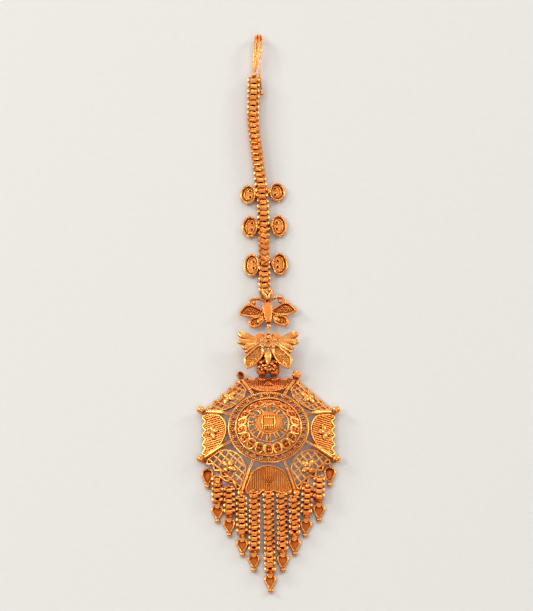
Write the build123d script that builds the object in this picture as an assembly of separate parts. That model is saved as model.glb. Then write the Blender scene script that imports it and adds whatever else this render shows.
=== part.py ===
"""Maang tikka: a gilded brass forehead ornament, lying flat.

A hair hook, a box chain with three pairs of leaf discs and two filigree butterflies
carry an octagonal domed pendant with a fringe of nine chain strands and eleven drops.
Millimetres, +Z up, the surface it lies on is Z = 0, the hook points to +Y and the
fringe to -Y.  Everything is laid out from the middle of the pendant, and moved at the
end so that the origin is under the middle of the whole footprint.
"""
import os
from math import atan2, cos, degrees, radians, sin, sqrt, tan

from build123d import *

# ---------------------------------------------------------------- driving dimensions
GAP = 0.05                  # clearance between neighbouring pieces

# octagonal pendant
SIDES = 8
SIDE_TURN = 360 / SIDES
RIM_APOTHEM = 15.2          # middle to the outer edge of a panel
SLOPE = 33.0                # rise of the eight panels, degrees
SHEET = 0.4                 # stamped sheet
STRIP_WIDTH = 0.9           # flat strip under the panels, which the pendant rests on
STRIP_HEIGHT = 0.3
EDGE_TOP = 0.85             # height of a panel's face at its outer edge
BAR_RADIUS = 0.44           # tubes along the ridges
STRUT_RADIUS = 0.28         # their thin inner ends
BAR_SHARE = 0.74            # how much of a ridge the thick tube takes
FINIAL_RADIUS = 0.95
FINIAL_REACH = 16.8         # middle of a finial from the middle of the pendant
FINIAL_HEIGHT = 1.55
POST_RADIUS = 0.45

# pierced ring, dome and boss
COLLAR_RADIUS = 9.05        # wire that the ridges run into
COLLAR_WIRE = 0.28
RING_OUTER = 8.72
RING_INNER = 7.3
RING_BASE = 4.6
RING_SHEET = 0.45
RING_EDGE_WIRE = 0.12       # wire on the outer edge of the ring
RING_HOLES = 30
RING_HOLE_RADIUS = 8.18
RING_HOLE_SIZE = 0.8
DOME_RADIUS = 7.15
DOME_SPHERE = 10.5
DOME_SHEET = 0.45
DOME_BASE = 4.75
DOME_SPOKES = 12
DOME_ROSETTES = 18
BOSS_RADIUS = 2.65
BOSS_BARREL = (3.0, 3.9)    # width, length
BOSS_BARREL_HEIGHT = 0.65

# panels, in their own plane: u along the edge, v up the slope
PANEL_CLEARANCE = 0.48      # side of a panel from the ridge line
WAVES = 5
WAVE_PITCH = 2.35
WAVE_DEPTH = 0.8
WAVE_NEAR = 0.2             # lowest point of the wavy edge
ARCH_SPRING = 4.9           # where a panel leaves its ridge tubes
PANEL_RIM = 0.36
PANEL_RIM_RISE = 0.25
LATTICE_PITCH = 1.4
LATTICE_HOLE = 0.85
LATTICE_BORDER = 0.55
FLOWER_V = 3.1
PETAL = (0.62, 1.5, 0.3)    # width, length, rise

# chains
CHAIN_D = 2.6
FRINGE_D = 2.5
ARC_SHARE = 0.45            # arc of a chain corner, as a share of its shorter run
MAIN_ROUTE = [(-3.40, 94.7), (-3.60, 82.5), (-2.05, 71.0), (-1.15, 59.5),
              (-0.80, 47.8), (-0.35, 36.75)]

# leaf discs: side of the chain, Y of the middle, length along the chain, gap to the chain
DISC_WIDTH = 3.5
DISC_TILT = 14.0
DISC_RIM = 0.5
DISC_SHEET = 0.4
DISCS = [("left_1", -1, 63.8, 4.8, 0.05), ("right_1", 1, 64.4, 4.7, 0.4),
         ("left_2", -1, 55.2, 5.4, 0.1), ("right_2", 1, 55.4, 5.5, 0.25),
         ("left_3", -1, 45.0, 5.7, 0.05), ("right_3", 1, 45.3, 5.7, 0.15)]

# fringe: name, X at the top, X at the tip, Y of the chain's top, Y of the drop's tip
FRINGE = [("1", -11.75, -11.60, -11.4, -22.7), ("2", -9.05, -8.90, -14.1, -26.3),
          ("3", -6.25, -5.90, -16.6, -31.4), ("4", -3.15, -3.35, -15.55, -35.4),
          ("5", -0.10, 0.50, -15.55, -40.8), ("6", 2.95, 3.30, -15.55, -35.4),
          ("7", 5.80, 6.00, -16.6, -31.2), ("8", 9.00, 8.30, -14.1, -26.4),
          ("9", 11.60, 11.45, -11.4, -22.4)]
SIDE_DROPS = [("left", -13.95, -13.7), ("right", 14.0, -13.2)]   # name, X, Y of the tip

# drop, from its tip upwards
DROP_LENGTH = 5.2
DROP_NECK = 0.8             # neck above the shoulders, which enters the chain
DROP_HALF = 1.33
DROP_SHEET = 0.5
DROP_RIM = 0.32
DROP_BALL = 0.65
DROP_NECK_HALF = 0.6        # half the neck's width

# hook
HOOK_WIRE = 0.34
HOOK_RING = (0.42, 0.2)    # radius of the ring, radius of its wire
BAIL = (0.45, 0.2)          # the same, for the ring between chain and upper butterfly

# butterflies: middle, height of the underside, turn about Z
UPPER_PLACE = (-0.15, 32.0, 1.0)
UPPER_TURN = 3.8
LOWER_PLACE = (-0.10, 21.5, 2.65)
BUTTERFLY_SHEET = 0.45
BUTTERFLY_RIM = 0.36
LINK_X = 1.4
LINK_TOP, LINK_END = 21.2, 15.75


# ---------------------------------------------------------------- small helpers
def ball(x, y, z, radius):
    return Pos(x, y, z) * Sphere(radius)


def rod(start, end, radius):
    """Round rod between two points."""
    line = Line(start, end)
    return sweep(Plane(line ^ 0) * Circle(radius), path=line)


def one_solid(shape):
    """The single solid of a union, or an error when its pieces don't join."""
    solids = shape.solids()
    if len(solids) != 1:
        raise ValueError(f"{len(solids)} solids where one is wanted")
    return solids[0]


def fuse(parts):
    """Union of many overlapping shapes, cleaned into one solid."""
    first, *others = parts
    return one_solid(first.fuse(*others)) if others else one_solid(first)


def rimmed(face, sheet, rim, rise):
    """A flat plate with a raised border along its outline."""
    plate = extrude(face, sheet)
    border = face - offset(face, -rim)
    return plate + extrude(border, sheet + rise)


def route_tube(points, radius):
    """Tube along straight runs joined by tangent arcs, each as large as its runs allow."""
    vectors = [Vector(*p) for p in points]
    if len(vectors) == 2:
        path = Line(*vectors)
    else:
        radii = []
        for before, corner, after in zip(vectors, vectors[1:], vectors[2:]):
            run_in, run_out = corner - before, after - corner
            turn = radians(run_in.get_angle(run_out))
            radii.append(ARC_SHARE * min(run_in.length, run_out.length) / tan(turn / 2))
        path = FilletPolyline(*vectors, radius=radii)
    return sweep(Plane(path ^ 0) * Circle(radius), path=path)


def chain_x(y):
    """X of the main chain's middle at a given Y."""
    for (x0, y0), (x1, y1) in zip(MAIN_ROUTE, MAIN_ROUTE[1:]):
        if y1 <= y <= y0:
            return x0 + (x1 - x0) * (y0 - y) / (y0 - y1)
    raise ValueError("Y is off the chain")


# ---------------------------------------------------------------- pendant
def slope_height(apothem):
    """Height of the panels' face at a distance from the middle, along an apothem."""
    return EDGE_TOP + (RIM_APOTHEM - apothem) * tan(radians(SLOPE))


def ridge_point(radius, lift=0.0):
    """Point of the first ridge, half a side round from +X, at a radius."""
    half = radians(SIDE_TURN / 2)
    height = slope_height(radius * cos(half)) + lift
    return Vector(radius * cos(half), radius * sin(half), height)


def pendant_frame():
    """Rest strip, ridge tubes, finials and collar wire, soldered together."""
    corner = RIM_APOTHEM / cos(radians(SIDE_TURN / 2))
    turn = SIDE_TURN / 2
    outer = RegularPolygon(corner, SIDES, rotation=turn)
    inner_corner = (RIM_APOTHEM - STRIP_WIDTH) / cos(radians(turn))
    strip = extrude(outer - RegularPolygon(inner_corner, SIDES, rotation=turn), STRIP_HEIGHT)

    bar_out = ridge_point(corner - 0.35, 0.1)
    ridge_in = ridge_point(COLLAR_RADIUS + 0.45, 0.0)
    bar_in = bar_out + (ridge_in - bar_out) * BAR_SHARE
    collar_z = RING_BASE + RING_SHEET / 2
    half = radians(turn)
    collar_point = Vector(COLLAR_RADIUS * cos(half), COLLAR_RADIUS * sin(half), collar_z)
    finial = Vector(FINIAL_REACH * cos(half), FINIAL_REACH * sin(half), FINIAL_HEIGHT)
    post_foot = Vector(bar_out.X, bar_out.Y, 0)
    ridge = [rod(bar_out, bar_in, BAR_RADIUS), rod(bar_in, collar_point, STRUT_RADIUS),
             ball(*finial, FINIAL_RADIUS), ball(*bar_in, BAR_RADIUS),
             rod(post_foot, bar_out, POST_RADIUS)]
    collar = Pos(0, 0, collar_z) * Torus(COLLAR_RADIUS, COLLAR_WIRE)
    parts = [strip, collar]
    for side in range(SIDES):
        parts += [Rot(0, 0, side * SIDE_TURN) * piece for piece in ridge]
    return fuse(parts)


def dome_ring():
    """Flat ring round the dome, with square holes and a wire on both edges."""
    band = extrude(Circle(RING_OUTER) - Circle(RING_INNER), RING_SHEET)
    hole = Box(RING_HOLE_SIZE, RING_HOLE_SIZE, 2)
    band -= [loc * hole for loc in PolarLocations(RING_HOLE_RADIUS, RING_HOLES)]
    wire = RING_SHEET / 2
    outer = Pos(0, 0, RING_SHEET) * Torus(RING_OUTER - RING_EDGE_WIRE, RING_EDGE_WIRE)
    inner = Pos(0, 0, RING_SHEET) * Torus(RING_INNER + wire, wire)
    return Pos(0, 0, RING_BASE) * fuse([band, outer, inner])


def dome_height(radius):
    """Height of the dome's face at a distance from the middle."""
    foot = sqrt(DOME_SPHERE ** 2 - DOME_RADIUS ** 2)
    return DOME_BASE + sqrt(DOME_SPHERE ** 2 - radius ** 2) - foot


def dome():
    """Shallow shell with spoke windows, rosette openings and a round seat for the boss."""
    centre_z = dome_height(0) - DOME_SPHERE
    shell = Sphere(DOME_SPHERE) - Sphere(DOME_SPHERE - DOME_SHEET)
    shell = Pos(0, 0, centre_z) * shell
    keep = extrude(Circle(DOME_RADIUS) - Circle(BOSS_RADIUS + GAP), 5)
    shell = shell & (Pos(0, 0, DOME_BASE - 0.6) * keep)

    spoke_in, spoke_out, spoke_width = 3.05, 4.35, 0.55
    windows = Circle(spoke_out) - Circle(spoke_in)
    windows -= [Rot(0, 0, turn * 180 / (DOME_SPOKES / 2)) * Rectangle(20, spoke_width)
                for turn in range(DOME_SPOKES // 2)]
    rosettes = [loc * Circle(0.42) for loc in PolarLocations(5.95, DOME_ROSETTES)]
    cutter = extrude(windows, 12)
    shell -= cutter
    shell -= [extrude(hole, 12) for hole in rosettes]

    seat = Pos(0, 0, dome_height(4.6)) * Torus(4.6, 0.22)
    foot = Pos(0, 0, DOME_BASE + 0.1) * Torus(DOME_RADIUS - 0.25, 0.22)
    return fuse([one_solid(shell), seat, foot])


def boss():
    """Round boss with an oval ribbed barrel on it."""
    base = dome_height(BOSS_RADIUS) - DOME_SHEET
    disc = Cylinder(BOSS_RADIUS, 0.55, align=(Align.CENTER, Align.CENTER, Align.MIN))
    wire = Pos(0, 0, 0.55) * Torus(BOSS_RADIUS - 0.25, 0.24)
    width, length = BOSS_BARREL
    barrel = extrude(Ellipse(width / 2, length / 2), 0.55 + BOSS_BARREL_HEIGHT)
    barrel = fillet(barrel.faces().sort_by(Axis.Z)[-1].edges(), 0.3)
    return Pos(0, 0, base) * fuse([disc, wire, barrel])


def panel_outline():
    """Panel in its plane: wavy outer edge, sides along the ridges, pointed arch inside."""
    def side_u(v):
        flat_half = (RIM_APOTHEM - v * cos(radians(SLOPE))) * tan(radians(SIDE_TURN / 2))
        return flat_half - PANEL_CLEARANCE

    middle = WAVE_NEAR + WAVE_DEPTH / 2
    quarter = WAVE_PITCH / 4
    bumps = [(wave - (WAVES - 1) / 2) * WAVE_PITCH for wave in range(WAVES)]
    starts = [(u - quarter, middle) for u in bumps]
    ends = [(u + quarter, middle) for u in bumps]
    corner_v = middle + 0.25
    starts[0], ends[-1] = (-side_u(corner_v), corner_v), (side_u(corner_v), corner_v)
    apex = (RIM_APOTHEM - COLLAR_RADIUS - COLLAR_WIRE - GAP) / cos(radians(SLOPE))
    with BuildSketch() as sketch:
        with BuildLine():
            for start, end in zip(starts, ends):
                ThreePointArc(start, ((start[0] + end[0]) / 2, WAVE_NEAR), end)
            for end, start in zip(ends, starts[1:]):
                trough = ((start[0] + end[0]) / 2, WAVE_NEAR + WAVE_DEPTH)
                ThreePointArc(end, trough, start)
            spring = (side_u(ARCH_SPRING), ARCH_SPRING)
            haunch = (spring[0] * 0.58, ARCH_SPRING + (apex - ARCH_SPRING) * 0.68)
            Line(ends[-1], spring)
            ThreePointArc(spring, haunch, (0, apex))
            ThreePointArc((0, apex), (-haunch[0], haunch[1]), (-spring[0], spring[1]))
            Line((-spring[0], spring[1]), starts[0])
        make_face()
    return sketch.sketch


def flower():
    """Three large petals and a small one, standing on the sheet."""
    width, length, rise = PETAL
    petals = []
    for turn, share in ((0, 1.0), (68, 1.0), (-68, 1.0), (180, 0.6)):
        petal = extrude(Ellipse(width / 2 * share ** 0.5, length / 2 * share), SHEET + rise)
        petals.append(Rot(0, 0, turn) * Pos(0, length * share * 0.55, 0) * petal)
    petals.append(extrude(Circle(0.35), SHEET + rise + 0.1))
    return [Pos(0, FLOWER_V, 0) * petal for petal in petals]


def panel_plane(turn):
    """Places a panel: its own plane turned up the slope, at a turn round the pendant."""
    lower = EDGE_TOP - SHEET / cos(radians(SLOPE))
    up_slope = Location((0, -RIM_APOTHEM, lower), (SLOPE, 0, 0))
    return Location((0, 0, 0), (0, 0, turn)) * up_slope


def fan_panel(turn, with_flower):
    """Striped sheet panel; the upper and lower ones carry a small triangle of grains."""
    face = panel_outline()
    parts = [rimmed(face, SHEET, PANEL_RIM, PANEL_RIM_RISE)]
    if with_flower:
        parts += flower()
    else:
        parts.append(extrude(Pos(0, FLOWER_V) * RegularPolygon(0.9, 3, rotation=90), SHEET + 0.3))
    return panel_plane(turn) * fuse(parts)


def lattice_panel(turn):
    """Pierced panel with a square lattice inside a plain border."""
    face = panel_outline()
    inner = offset(face, -LATTICE_BORDER)
    floor_v = WAVE_NEAR + WAVE_DEPTH + 0.75
    inner &= Pos(0, floor_v + 5) * Rectangle(30, 10)
    holes = []
    for column in range(-4, 5):
        for row in range(4):
            place = Pos(column * LATTICE_PITCH, floor_v + LATTICE_HOLE / 2 + row * LATTICE_PITCH)
            hole = (place * Rectangle(LATTICE_HOLE, LATTICE_HOLE)) & inner
            if hole and hole.area > 0.2:
                holes.append(extrude(hole, 2))
    plate = rimmed(face, SHEET, PANEL_RIM, PANEL_RIM_RISE)
    plate -= holes
    keeper = extrude(Pos(0, FLOWER_V) * Circle(0.95), SHEET)
    return panel_plane(turn) * fuse([one_solid(plate), keeper] + flower())


# ---------------------------------------------------------------- fringe
def drop_outline():
    """Spade shape from the tip to the neck, its tip on the origin."""
    shoulder, waist, foot = DROP_LENGTH - 0.55, DROP_LENGTH - 1.75, 2 * DROP_BALL - 0.15
    top = DROP_LENGTH + DROP_NECK
    half_neck, half_foot = DROP_NECK_HALF, 0.28
    with BuildSketch() as sketch:
        with BuildLine():
            for side in (1, -1):
                Line((0, foot), (side * half_foot, foot))
                ThreePointArc((side * half_foot, foot), (side * DROP_HALF * 0.72, 2.2),
                              (side * DROP_HALF, waist))
                ThreePointArc((side * DROP_HALF, waist), (side * DROP_HALF * 0.84, shoulder - 0.35),
                              (side * half_neck, shoulder))
                Line((side * half_neck, shoulder), (side * half_neck, top))
                Line((side * half_neck, top), (0, top))
        make_face()
    return sketch.sketch


def side_drop_outline():
    """Egg-shaped outline of the side drops, which have no neck."""
    waist, foot, half_foot = DROP_LENGTH - 1.5, 2 * DROP_BALL - 0.15, 0.28
    with BuildSketch() as sketch:
        with BuildLine():
            for side in (1, -1):
                Line((0, foot), (side * half_foot, foot))
                ThreePointArc((side * half_foot, foot), (side * DROP_HALF * 0.72, 2.35),
                              (side * DROP_HALF, waist))
                ThreePointArc((side * DROP_HALF, waist), (side * DROP_HALF * 0.72, waist + 1.1),
                              (0, DROP_LENGTH))
        make_face()
    return sketch.sketch


def drop_tip():
    return ball(0, DROP_BALL, DROP_BALL, DROP_BALL)


def drop():
    """Drop with a raised rim, a small petal under the neck and a ball tip, tip at (0, 0)."""
    petal = extrude(Pos(0, DROP_LENGTH - 1.3) * Ellipse(0.42, 1.0), DROP_SHEET + DROP_RIM)
    return fuse([rimmed(drop_outline(), DROP_SHEET, 0.34, DROP_RIM), petal, drop_tip()])


def side_drop():
    """Teardrop with a raised rim and a ball tip, tip at (0, 0)."""
    return fuse([rimmed(side_drop_outline(), DROP_SHEET, 0.34, DROP_RIM), drop_tip()])


def fringe_strand(x_top, x_tip, y_top, y_tip):
    """One straight strand of chain and the drop that hangs from it."""
    neck_y = y_tip + DROP_LENGTH + DROP_NECK
    slope = (x_tip - x_top) / (y_top - y_tip)
    x_end = x_top + slope * (y_top - neck_y)
    height = FRINGE_D / 2
    chain = rod((x_top, y_top, height), (x_end, neck_y + GAP, height), FRINGE_D / 2)
    lean = degrees(atan2(x_tip - x_top, y_top - y_tip))
    return chain, Pos(x_tip, y_tip, 0) * Rot(0, 0, lean) * drop()


# ---------------------------------------------------------------- leaf discs
def leaf_disc(side, y, length, gap):
    """Oval leaf with a raised rim, a double curl and a solder seat, beside the chain."""
    half_width, half_length = DISC_WIDTH / 2, length / 2
    outline = Ellipse(half_width, half_length)
    border = outline - Ellipse(half_width - DISC_RIM, half_length - DISC_RIM)
    leaf = [extrude(outline, DISC_SHEET), extrude(border, DISC_SHEET + 0.25)]
    curl_x = -side * DISC_WIDTH * 0.12
    curls = [extrude(Pos(curl_x, offset_y) * (Circle(0.62) - Circle(0.28)), DISC_SHEET + 0.3)
             for offset_y in (0.72, -0.72)]
    seat_x = -side * (half_width - 0.35)
    seat = extrude(Pos(seat_x) * Ellipse(0.5, 0.8), DISC_SHEET + 0.45)
    grain = ball(side * 0.4, -half_length - 0.1, 0.35, 0.3)
    tilted = Rot(0, side * DISC_TILT, 0) * fuse([*leaf, *curls, seat, grain])
    reach = CHAIN_D / 2 + gap + DISC_WIDTH / 2
    placed = Pos(chain_x(y) + side * reach, y, 0) * tilted
    return Pos(0, 0, 0.02 - placed.bounding_box().min.Z) * placed


# ---------------------------------------------------------------- hook
def hair_hook():
    """Doubled wire up to the bend, one wire back, with a curl and a ball at its tip."""
    foot, crown, turn_back = (-3.25, 96.5, 1.45), (-2.70, 105.9, 2.35), (-1.80, 105.9, 0.75)
    knee, heel, tip = (-2.05, 100.4, 0.50), (-1.70, 93.8, 0.50), (-1.60, 91.4, 0.55)
    join = Vector(knee) + (Vector(turn_back) - Vector(knee)) * 0.75
    parts = []
    for shift in (-HOOK_WIRE, HOOK_WIRE):
        route = [Vector(p) + Vector(shift * 0.95, 0, 0) for p in (foot, crown, turn_back)]
        route.append(Vector(knee) + (Vector(turn_back) - Vector(knee)) * 0.55)
        path = FilletPolyline(*route, radius=[0.8, 0.8])
        parts.append(sweep(Plane(path ^ 0) * Circle(HOOK_WIRE), path=path))
    leg = FilletPolyline(join, knee, heel, tip, radius=[4.0, 4.0])
    parts.append(sweep(Plane(leg ^ 0) * Circle(HOOK_WIRE), path=leg))
    parts.append(ball(*join, 0.55))
    parts.append(ball(*foot, 0.48))
    parts.append(Pos(-1.66, 92.7, 0.52) * Torus(0.42, 0.24))
    parts.append(ball(-1.58, 91.0, 0.55, 0.5))
    return fuse(parts)


def wire_ring(x, y, z, radius, wire, upright=True):
    ring = Torus(radius, wire)
    return Pos(x, y, z) * (Rot(0, 90, 0) * ring if upright else ring)


# ---------------------------------------------------------------- butterflies
def leaf_shape(root, upper, tip, lower):
    """Pointed leaf through four points: two arcs that meet at the root and the tip."""
    with BuildSketch() as sketch:
        with BuildLine():
            ThreePointArc(root, upper, tip)
            ThreePointArc(tip, lower, root)
        make_face()
    return sketch.sketch


def scroll_wire():
    """Feeler: a round wire arched out from the neck and curled back to its ball."""
    with BuildLine() as path:
        ThreePointArc((0.3, 3.1), (2.4, 4.05), (3.95, 3.0))
        ThreePointArc((3.95, 3.0), (3.6, 2.4), (2.95, 2.85))
    first, second = path.edges().sort_by(Axis.X)[-1], path.edges().sort_by(Axis.X)[0]
    pieces = [sweep(Plane(edge ^ 0) * Circle(0.2), path=edge) for edge in (first, second)]
    return Pos(0, 0, 0.35) * fuse([*pieces, ball(3.95, 3.0, 0, 0.2)])


def both_sides(piece):
    return [piece, mirror(piece, Plane.YZ)]


def butterfly_upper():
    """Open filigree butterfly: pointed wings, round tails, scrolled feelers, slim body."""
    sheet, rim = BUTTERFLY_SHEET, BUTTERFLY_RIM
    wing = leaf_shape((0.8, 0.25), (3.9, 2.15), (6.78, 0.1), (4.0, -0.85))
    tail = leaf_shape((0.6, -0.8), (1.9, -2.75), (3.6, -4.0), (2.9, -1.55))
    tail += Pos(3.6, -2.8) * Circle(1.2)
    feeler = scroll_wire()
    parts = [extrude(Pos(0, 0.2) * Ellipse(0.92, 2.3), sheet + 0.75)]
    parts.append(extrude(Pos(0, -2.6) * Rectangle(1.1, 3.2), sheet + 0.35))
    parts.append(extrude(Pos(0, -4.0) * Ellipse(0.45, 0.7), sheet))
    parts.append(extrude(Pos(0, 2.6) * Rectangle(0.9, 1.4), sheet + 0.2))
    for piece in (rimmed(wing, sheet, rim, 0.25), rimmed(tail, sheet, rim, 0.25),
                  feeler, ball(2.95, 2.85, 0.45, 0.42)):
        parts += both_sides(piece)
    for step in range(2):
        parts += both_sides(ball(0.45, -2.1 - 0.55 * step, 0.75, 0.26))
    return Pos(*UPPER_PLACE) * Rot(0, 0, UPPER_TURN) * fuse(parts)


def butterfly_lower():
    """Broad butterfly: ribbed fan wings above, rimmed leaves below, oval body, grains."""
    sheet, rim = BUTTERFLY_SHEET, BUTTERFLY_RIM
    root = Vector(1.7, 1.9, 0)
    ribs = []
    for angle, length, half in ((22, 5.7, 0.75), (3, 5.4, 0.7), (-20, 4.4, 0.62), (-38, 4.5, 0.5)):
        rib = extrude(Pos(length / 2, 0) * Ellipse(length / 2, half), sheet + 0.35)
        ribs.append(Pos(*root) * Rot(0, 0, angle) * rib)
    leaf = leaf_shape((1.1, 0.9), (1.6, -2.5), (4.75, -5.05), (5.3, -1.9))
    lobe = Pos(2.05, 3.8) * Circle(0.95)
    parts = [extrude(Pos(0, -1.9) * Ellipse(0.92, 2.35), sheet + 0.8)]
    parts.append(extrude(Pos(0, 1.7) * Circle(1.35), sheet + 0.45))
    parts.append(extrude(Pos(0, 3.1) * Rectangle(0.8, 2.2), sheet + 0.2))
    parts.append(ball(0, 4.3, 0.5, 0.5))
    for piece in (*ribs, rimmed(leaf, sheet, rim, 0.25), extrude(lobe, sheet),
                  extrude(Pos(1.4, 2.8) * Ellipse(0.9, 0.7), sheet)):
        parts += both_sides(piece)
    for x, y in ((1.4, 2.1), (1.05, 0.45), (1.55, -4.0), (1.1, -4.75)):
        parts += both_sides(ball(x, y, 0.6, 0.42))
    parts.append(extrude(Pos(0, -4.4) * Rectangle(3.4, 0.9), sheet))
    parts += both_sides(ball(0.4, -5.35, 0.45, 0.42))
    parts.append(extrude(Pos(0, -5.0) * Rectangle(1.0, 0.8), sheet))
    return Pos(*LOWER_PLACE) * fuse(parts)


# ---------------------------------------------------------------- assembly
def all_pieces():
    """Every piece by its node name, laid out from the middle of the pendant."""
    pieces = {"pendant_frame": pendant_frame(), "dome_ring": dome_ring(),
              "dome": dome(), "boss": boss()}
    for name, turn in (("bottom", 0), ("right", 90), ("top", 180), ("left", 270)):
        pieces[f"fan_panel_{name}"] = fan_panel(turn, name in ("left", "right"))
    for name, turn in (("lower_right", 45), ("upper_right", 135),
                       ("upper_left", 225), ("lower_left", 315)):
        pieces[f"lattice_panel_{name}"] = lattice_panel(turn)

    for name, *sizes in FRINGE:
        chain, hanging = fringe_strand(*sizes)
        pieces[f"fringe_chain_{name}"] = chain
        pieces[f"fringe_drop_{name}"] = hanging
    for name, x, y_tip in SIDE_DROPS:
        pieces[f"side_drop_{name}"] = Pos(x, y_tip, 0) * side_drop()

    height = CHAIN_D / 2
    pieces["main_chain"] = route_tube([(x, y, height) for x, y in MAIN_ROUTE], CHAIN_D / 2)
    for name, *sizes in DISCS:
        pieces[f"leaf_disc_{name}"] = leaf_disc(*sizes)
    for name, side in (("left", -1), ("right", 1)):
        x = LOWER_PLACE[0] + side * LINK_X
        low = FRINGE_D / 2
        pieces[f"link_chain_{name}"] = rod((x, LINK_TOP, low), (x, LINK_END, low), FRINGE_D / 2)

    top_x, top_y = MAIN_ROUTE[0]
    end_x, end_y = MAIN_ROUTE[-1]
    pieces["hair_hook"] = hair_hook()
    pieces["hook_ring"] = wire_ring(top_x, top_y + GAP + sum(HOOK_RING), height, *HOOK_RING)
    pieces["chain_bail"] = wire_ring(end_x, end_y - GAP - sum(BAIL), height, *BAIL)
    pieces["butterfly_upper"] = butterfly_upper()
    pieces["butterfly_ring"] = wire_ring(-0.12, 26.9, 2.05, 0.85, 0.24, upright=False)
    pieces["butterfly_lower"] = butterfly_lower()
    return pieces


def main():
    pieces = all_pieces()
    whole = Compound(children=[piece.solid() for piece in pieces.values()]).bounding_box()
    shift = Pos(-whole.center().X, -whole.center().Y, -whole.min.Z)
    os.makedirs("parts", exist_ok=True)
    for name, piece in pieces.items():
        export_step(shift * piece, f"parts/{name}.step")
    print("size", [round(v, 3) for v in whole.size])
    print("middle of the pendant at", [round(v, 3) for v in shift.position])


main()
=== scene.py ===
"""Maang tikka of gilded brass: the look of every piece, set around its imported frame.

Pieces are modelled in millimetres from the middle of the pendant, with the hook
towards +Y and the fringe towards -Y, and are then set into the frame in metres.
"""
import random
from contextlib import contextmanager
from math import asin, atan2, copysign, cos, hypot, pi, radians, sin, sqrt, tan

import bmesh
import bpy
from mathutils import Matrix, Vector


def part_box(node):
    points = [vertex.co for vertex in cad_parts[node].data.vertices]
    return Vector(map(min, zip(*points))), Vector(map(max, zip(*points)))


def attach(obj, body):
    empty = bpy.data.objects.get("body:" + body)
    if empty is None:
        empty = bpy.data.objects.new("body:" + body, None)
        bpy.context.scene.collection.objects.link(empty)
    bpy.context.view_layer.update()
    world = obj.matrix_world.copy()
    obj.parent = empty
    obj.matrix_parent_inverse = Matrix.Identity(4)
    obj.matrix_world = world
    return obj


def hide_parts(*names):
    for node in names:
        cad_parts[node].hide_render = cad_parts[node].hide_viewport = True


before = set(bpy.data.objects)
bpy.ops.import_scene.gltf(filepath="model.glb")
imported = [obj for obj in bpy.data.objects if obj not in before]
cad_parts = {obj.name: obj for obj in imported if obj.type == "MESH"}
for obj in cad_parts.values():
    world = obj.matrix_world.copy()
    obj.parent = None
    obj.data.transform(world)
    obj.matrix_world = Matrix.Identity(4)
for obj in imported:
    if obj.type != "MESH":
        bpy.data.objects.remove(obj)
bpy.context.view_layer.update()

ring_low, ring_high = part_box("dome_ring")
PENDANT_MIDDLE = Vector(((ring_low.x + ring_high.x) / 2, (ring_low.y + ring_high.y) / 2, 0))
TO_FRAME = Matrix.Translation(PENDANT_MIDDLE) @ Matrix.Scale(0.001, 4)
TO_MM = TO_FRAME.inverted()

# octagonal pendant and its sloping panels
SIDES = 8
HALF_SIDE = pi / SIDES
APOTHEM = 15.2
CORNER_REACH = APOTHEM / cos(HALF_SIDE)
SLOPE = radians(33)
SHEET = 0.4
EDGE_TOP = 0.85
COLLAR_RADIUS = 9.05
COLLAR_WIRE = 0.28
GAP = 0.05
PANEL_CLEARANCE = 0.48
WAVE_PITCH = 2.35
WAVE_DEPTH = 0.8
WAVE_NEAR = 0.2
CORNER_V = 0.83
ARCH_SPRING = 4.9
RIM_WIRE = 0.32
ARCH_WIRE = 0.2
FLOWER_V = 3.1
LATTICE_PITCH = 1.4
LATTICE_FOOT = 1.48
RIB_PITCH = 0.5
SIDE_RIB_PITCH = 0.57

BAR_RADIUS = 0.44
BAR_SHARE = 0.74
FINIAL_RADIUS = 0.94
FINIAL_REACH = 16.8
FINIAL_HEIGHT = 1.55

# pierced ring, dome and boss
RING_OUTER = 8.72
RING_INNER = 7.3
RING_BASE = 4.6
RING_TOP = 5.05
RING_HOLES = 30
RING_HOLE_RADIUS = 8.18
RING_HOLE_REACH = 0.57
RING_GRAIN_RADII = (7.95, 8.36)
RING_BEADS = 108
RING_BEAD_RADIUS = 8.74
DOME_RADIUS = 7.15
DOME_SPHERE = 10.5
DOME_BASE = 4.75
ROSETTES = 18
ROSETTE_RADIUS = 6.12
SPOKES = 12
SPOKE_WIRE_RADIUS = 4.62
FOOT_WIRE_RADIUS = 7.1
FILL_RADIUS = 7.0
BOSS_BASE = 6.77
BOSS_RADIUS = 2.6

# chains, as routes of their middle line
CHAIN_HEIGHT = 1.5
STRAND_HEIGHT = 1.42
MAIN_ROUTE = [(-3.40, 94.2), (-3.60, 82.5), (-2.28, 71.0), (-1.20, 59.5), (-1.02, 47.8),
              (-0.90, 36.75)]
LINK_PITCH = 0.7
STRAND_OVER_DROP = 0.85

# butterflies: middle, height of the underside, turn
UPPER_PLACE = Vector((-0.15, 32.0, 1.0))
UPPER_TURN = 3.8
LOWER_PLACE = Vector((-0.10, 21.5, 2.65))

chance = random.Random(11)


# ---------------------------------------------------------------- working tools
def only(*objects):
    """Selects these objects alone and makes the first one active."""
    bpy.ops.object.select_all(action="DESELECT")
    for obj in objects:
        obj.select_set(True)
    bpy.context.view_layer.objects.active = objects[0]
    return objects[0]


def settle(obj):
    """Puts an object's place, turn and size into its mesh."""
    only(obj)
    bpy.ops.object.transform_apply(location=True, rotation=True, scale=True)
    return obj


def apply_modifier(obj, kind, **settings):
    """Adds a modifier with its settings and applies it."""
    only(obj)
    made = obj.modifiers.new(kind.lower(), kind)
    for name, value in settings.items():
        setattr(made, name, value)
    bpy.ops.object.modifier_apply(modifier=made.name)
    return obj


@contextmanager
def editing():
    """Edit mode for the active object, for as long as it lasts."""
    bpy.ops.object.mode_set(mode="EDIT")
    yield
    bpy.ops.object.mode_set(mode="OBJECT")


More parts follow.
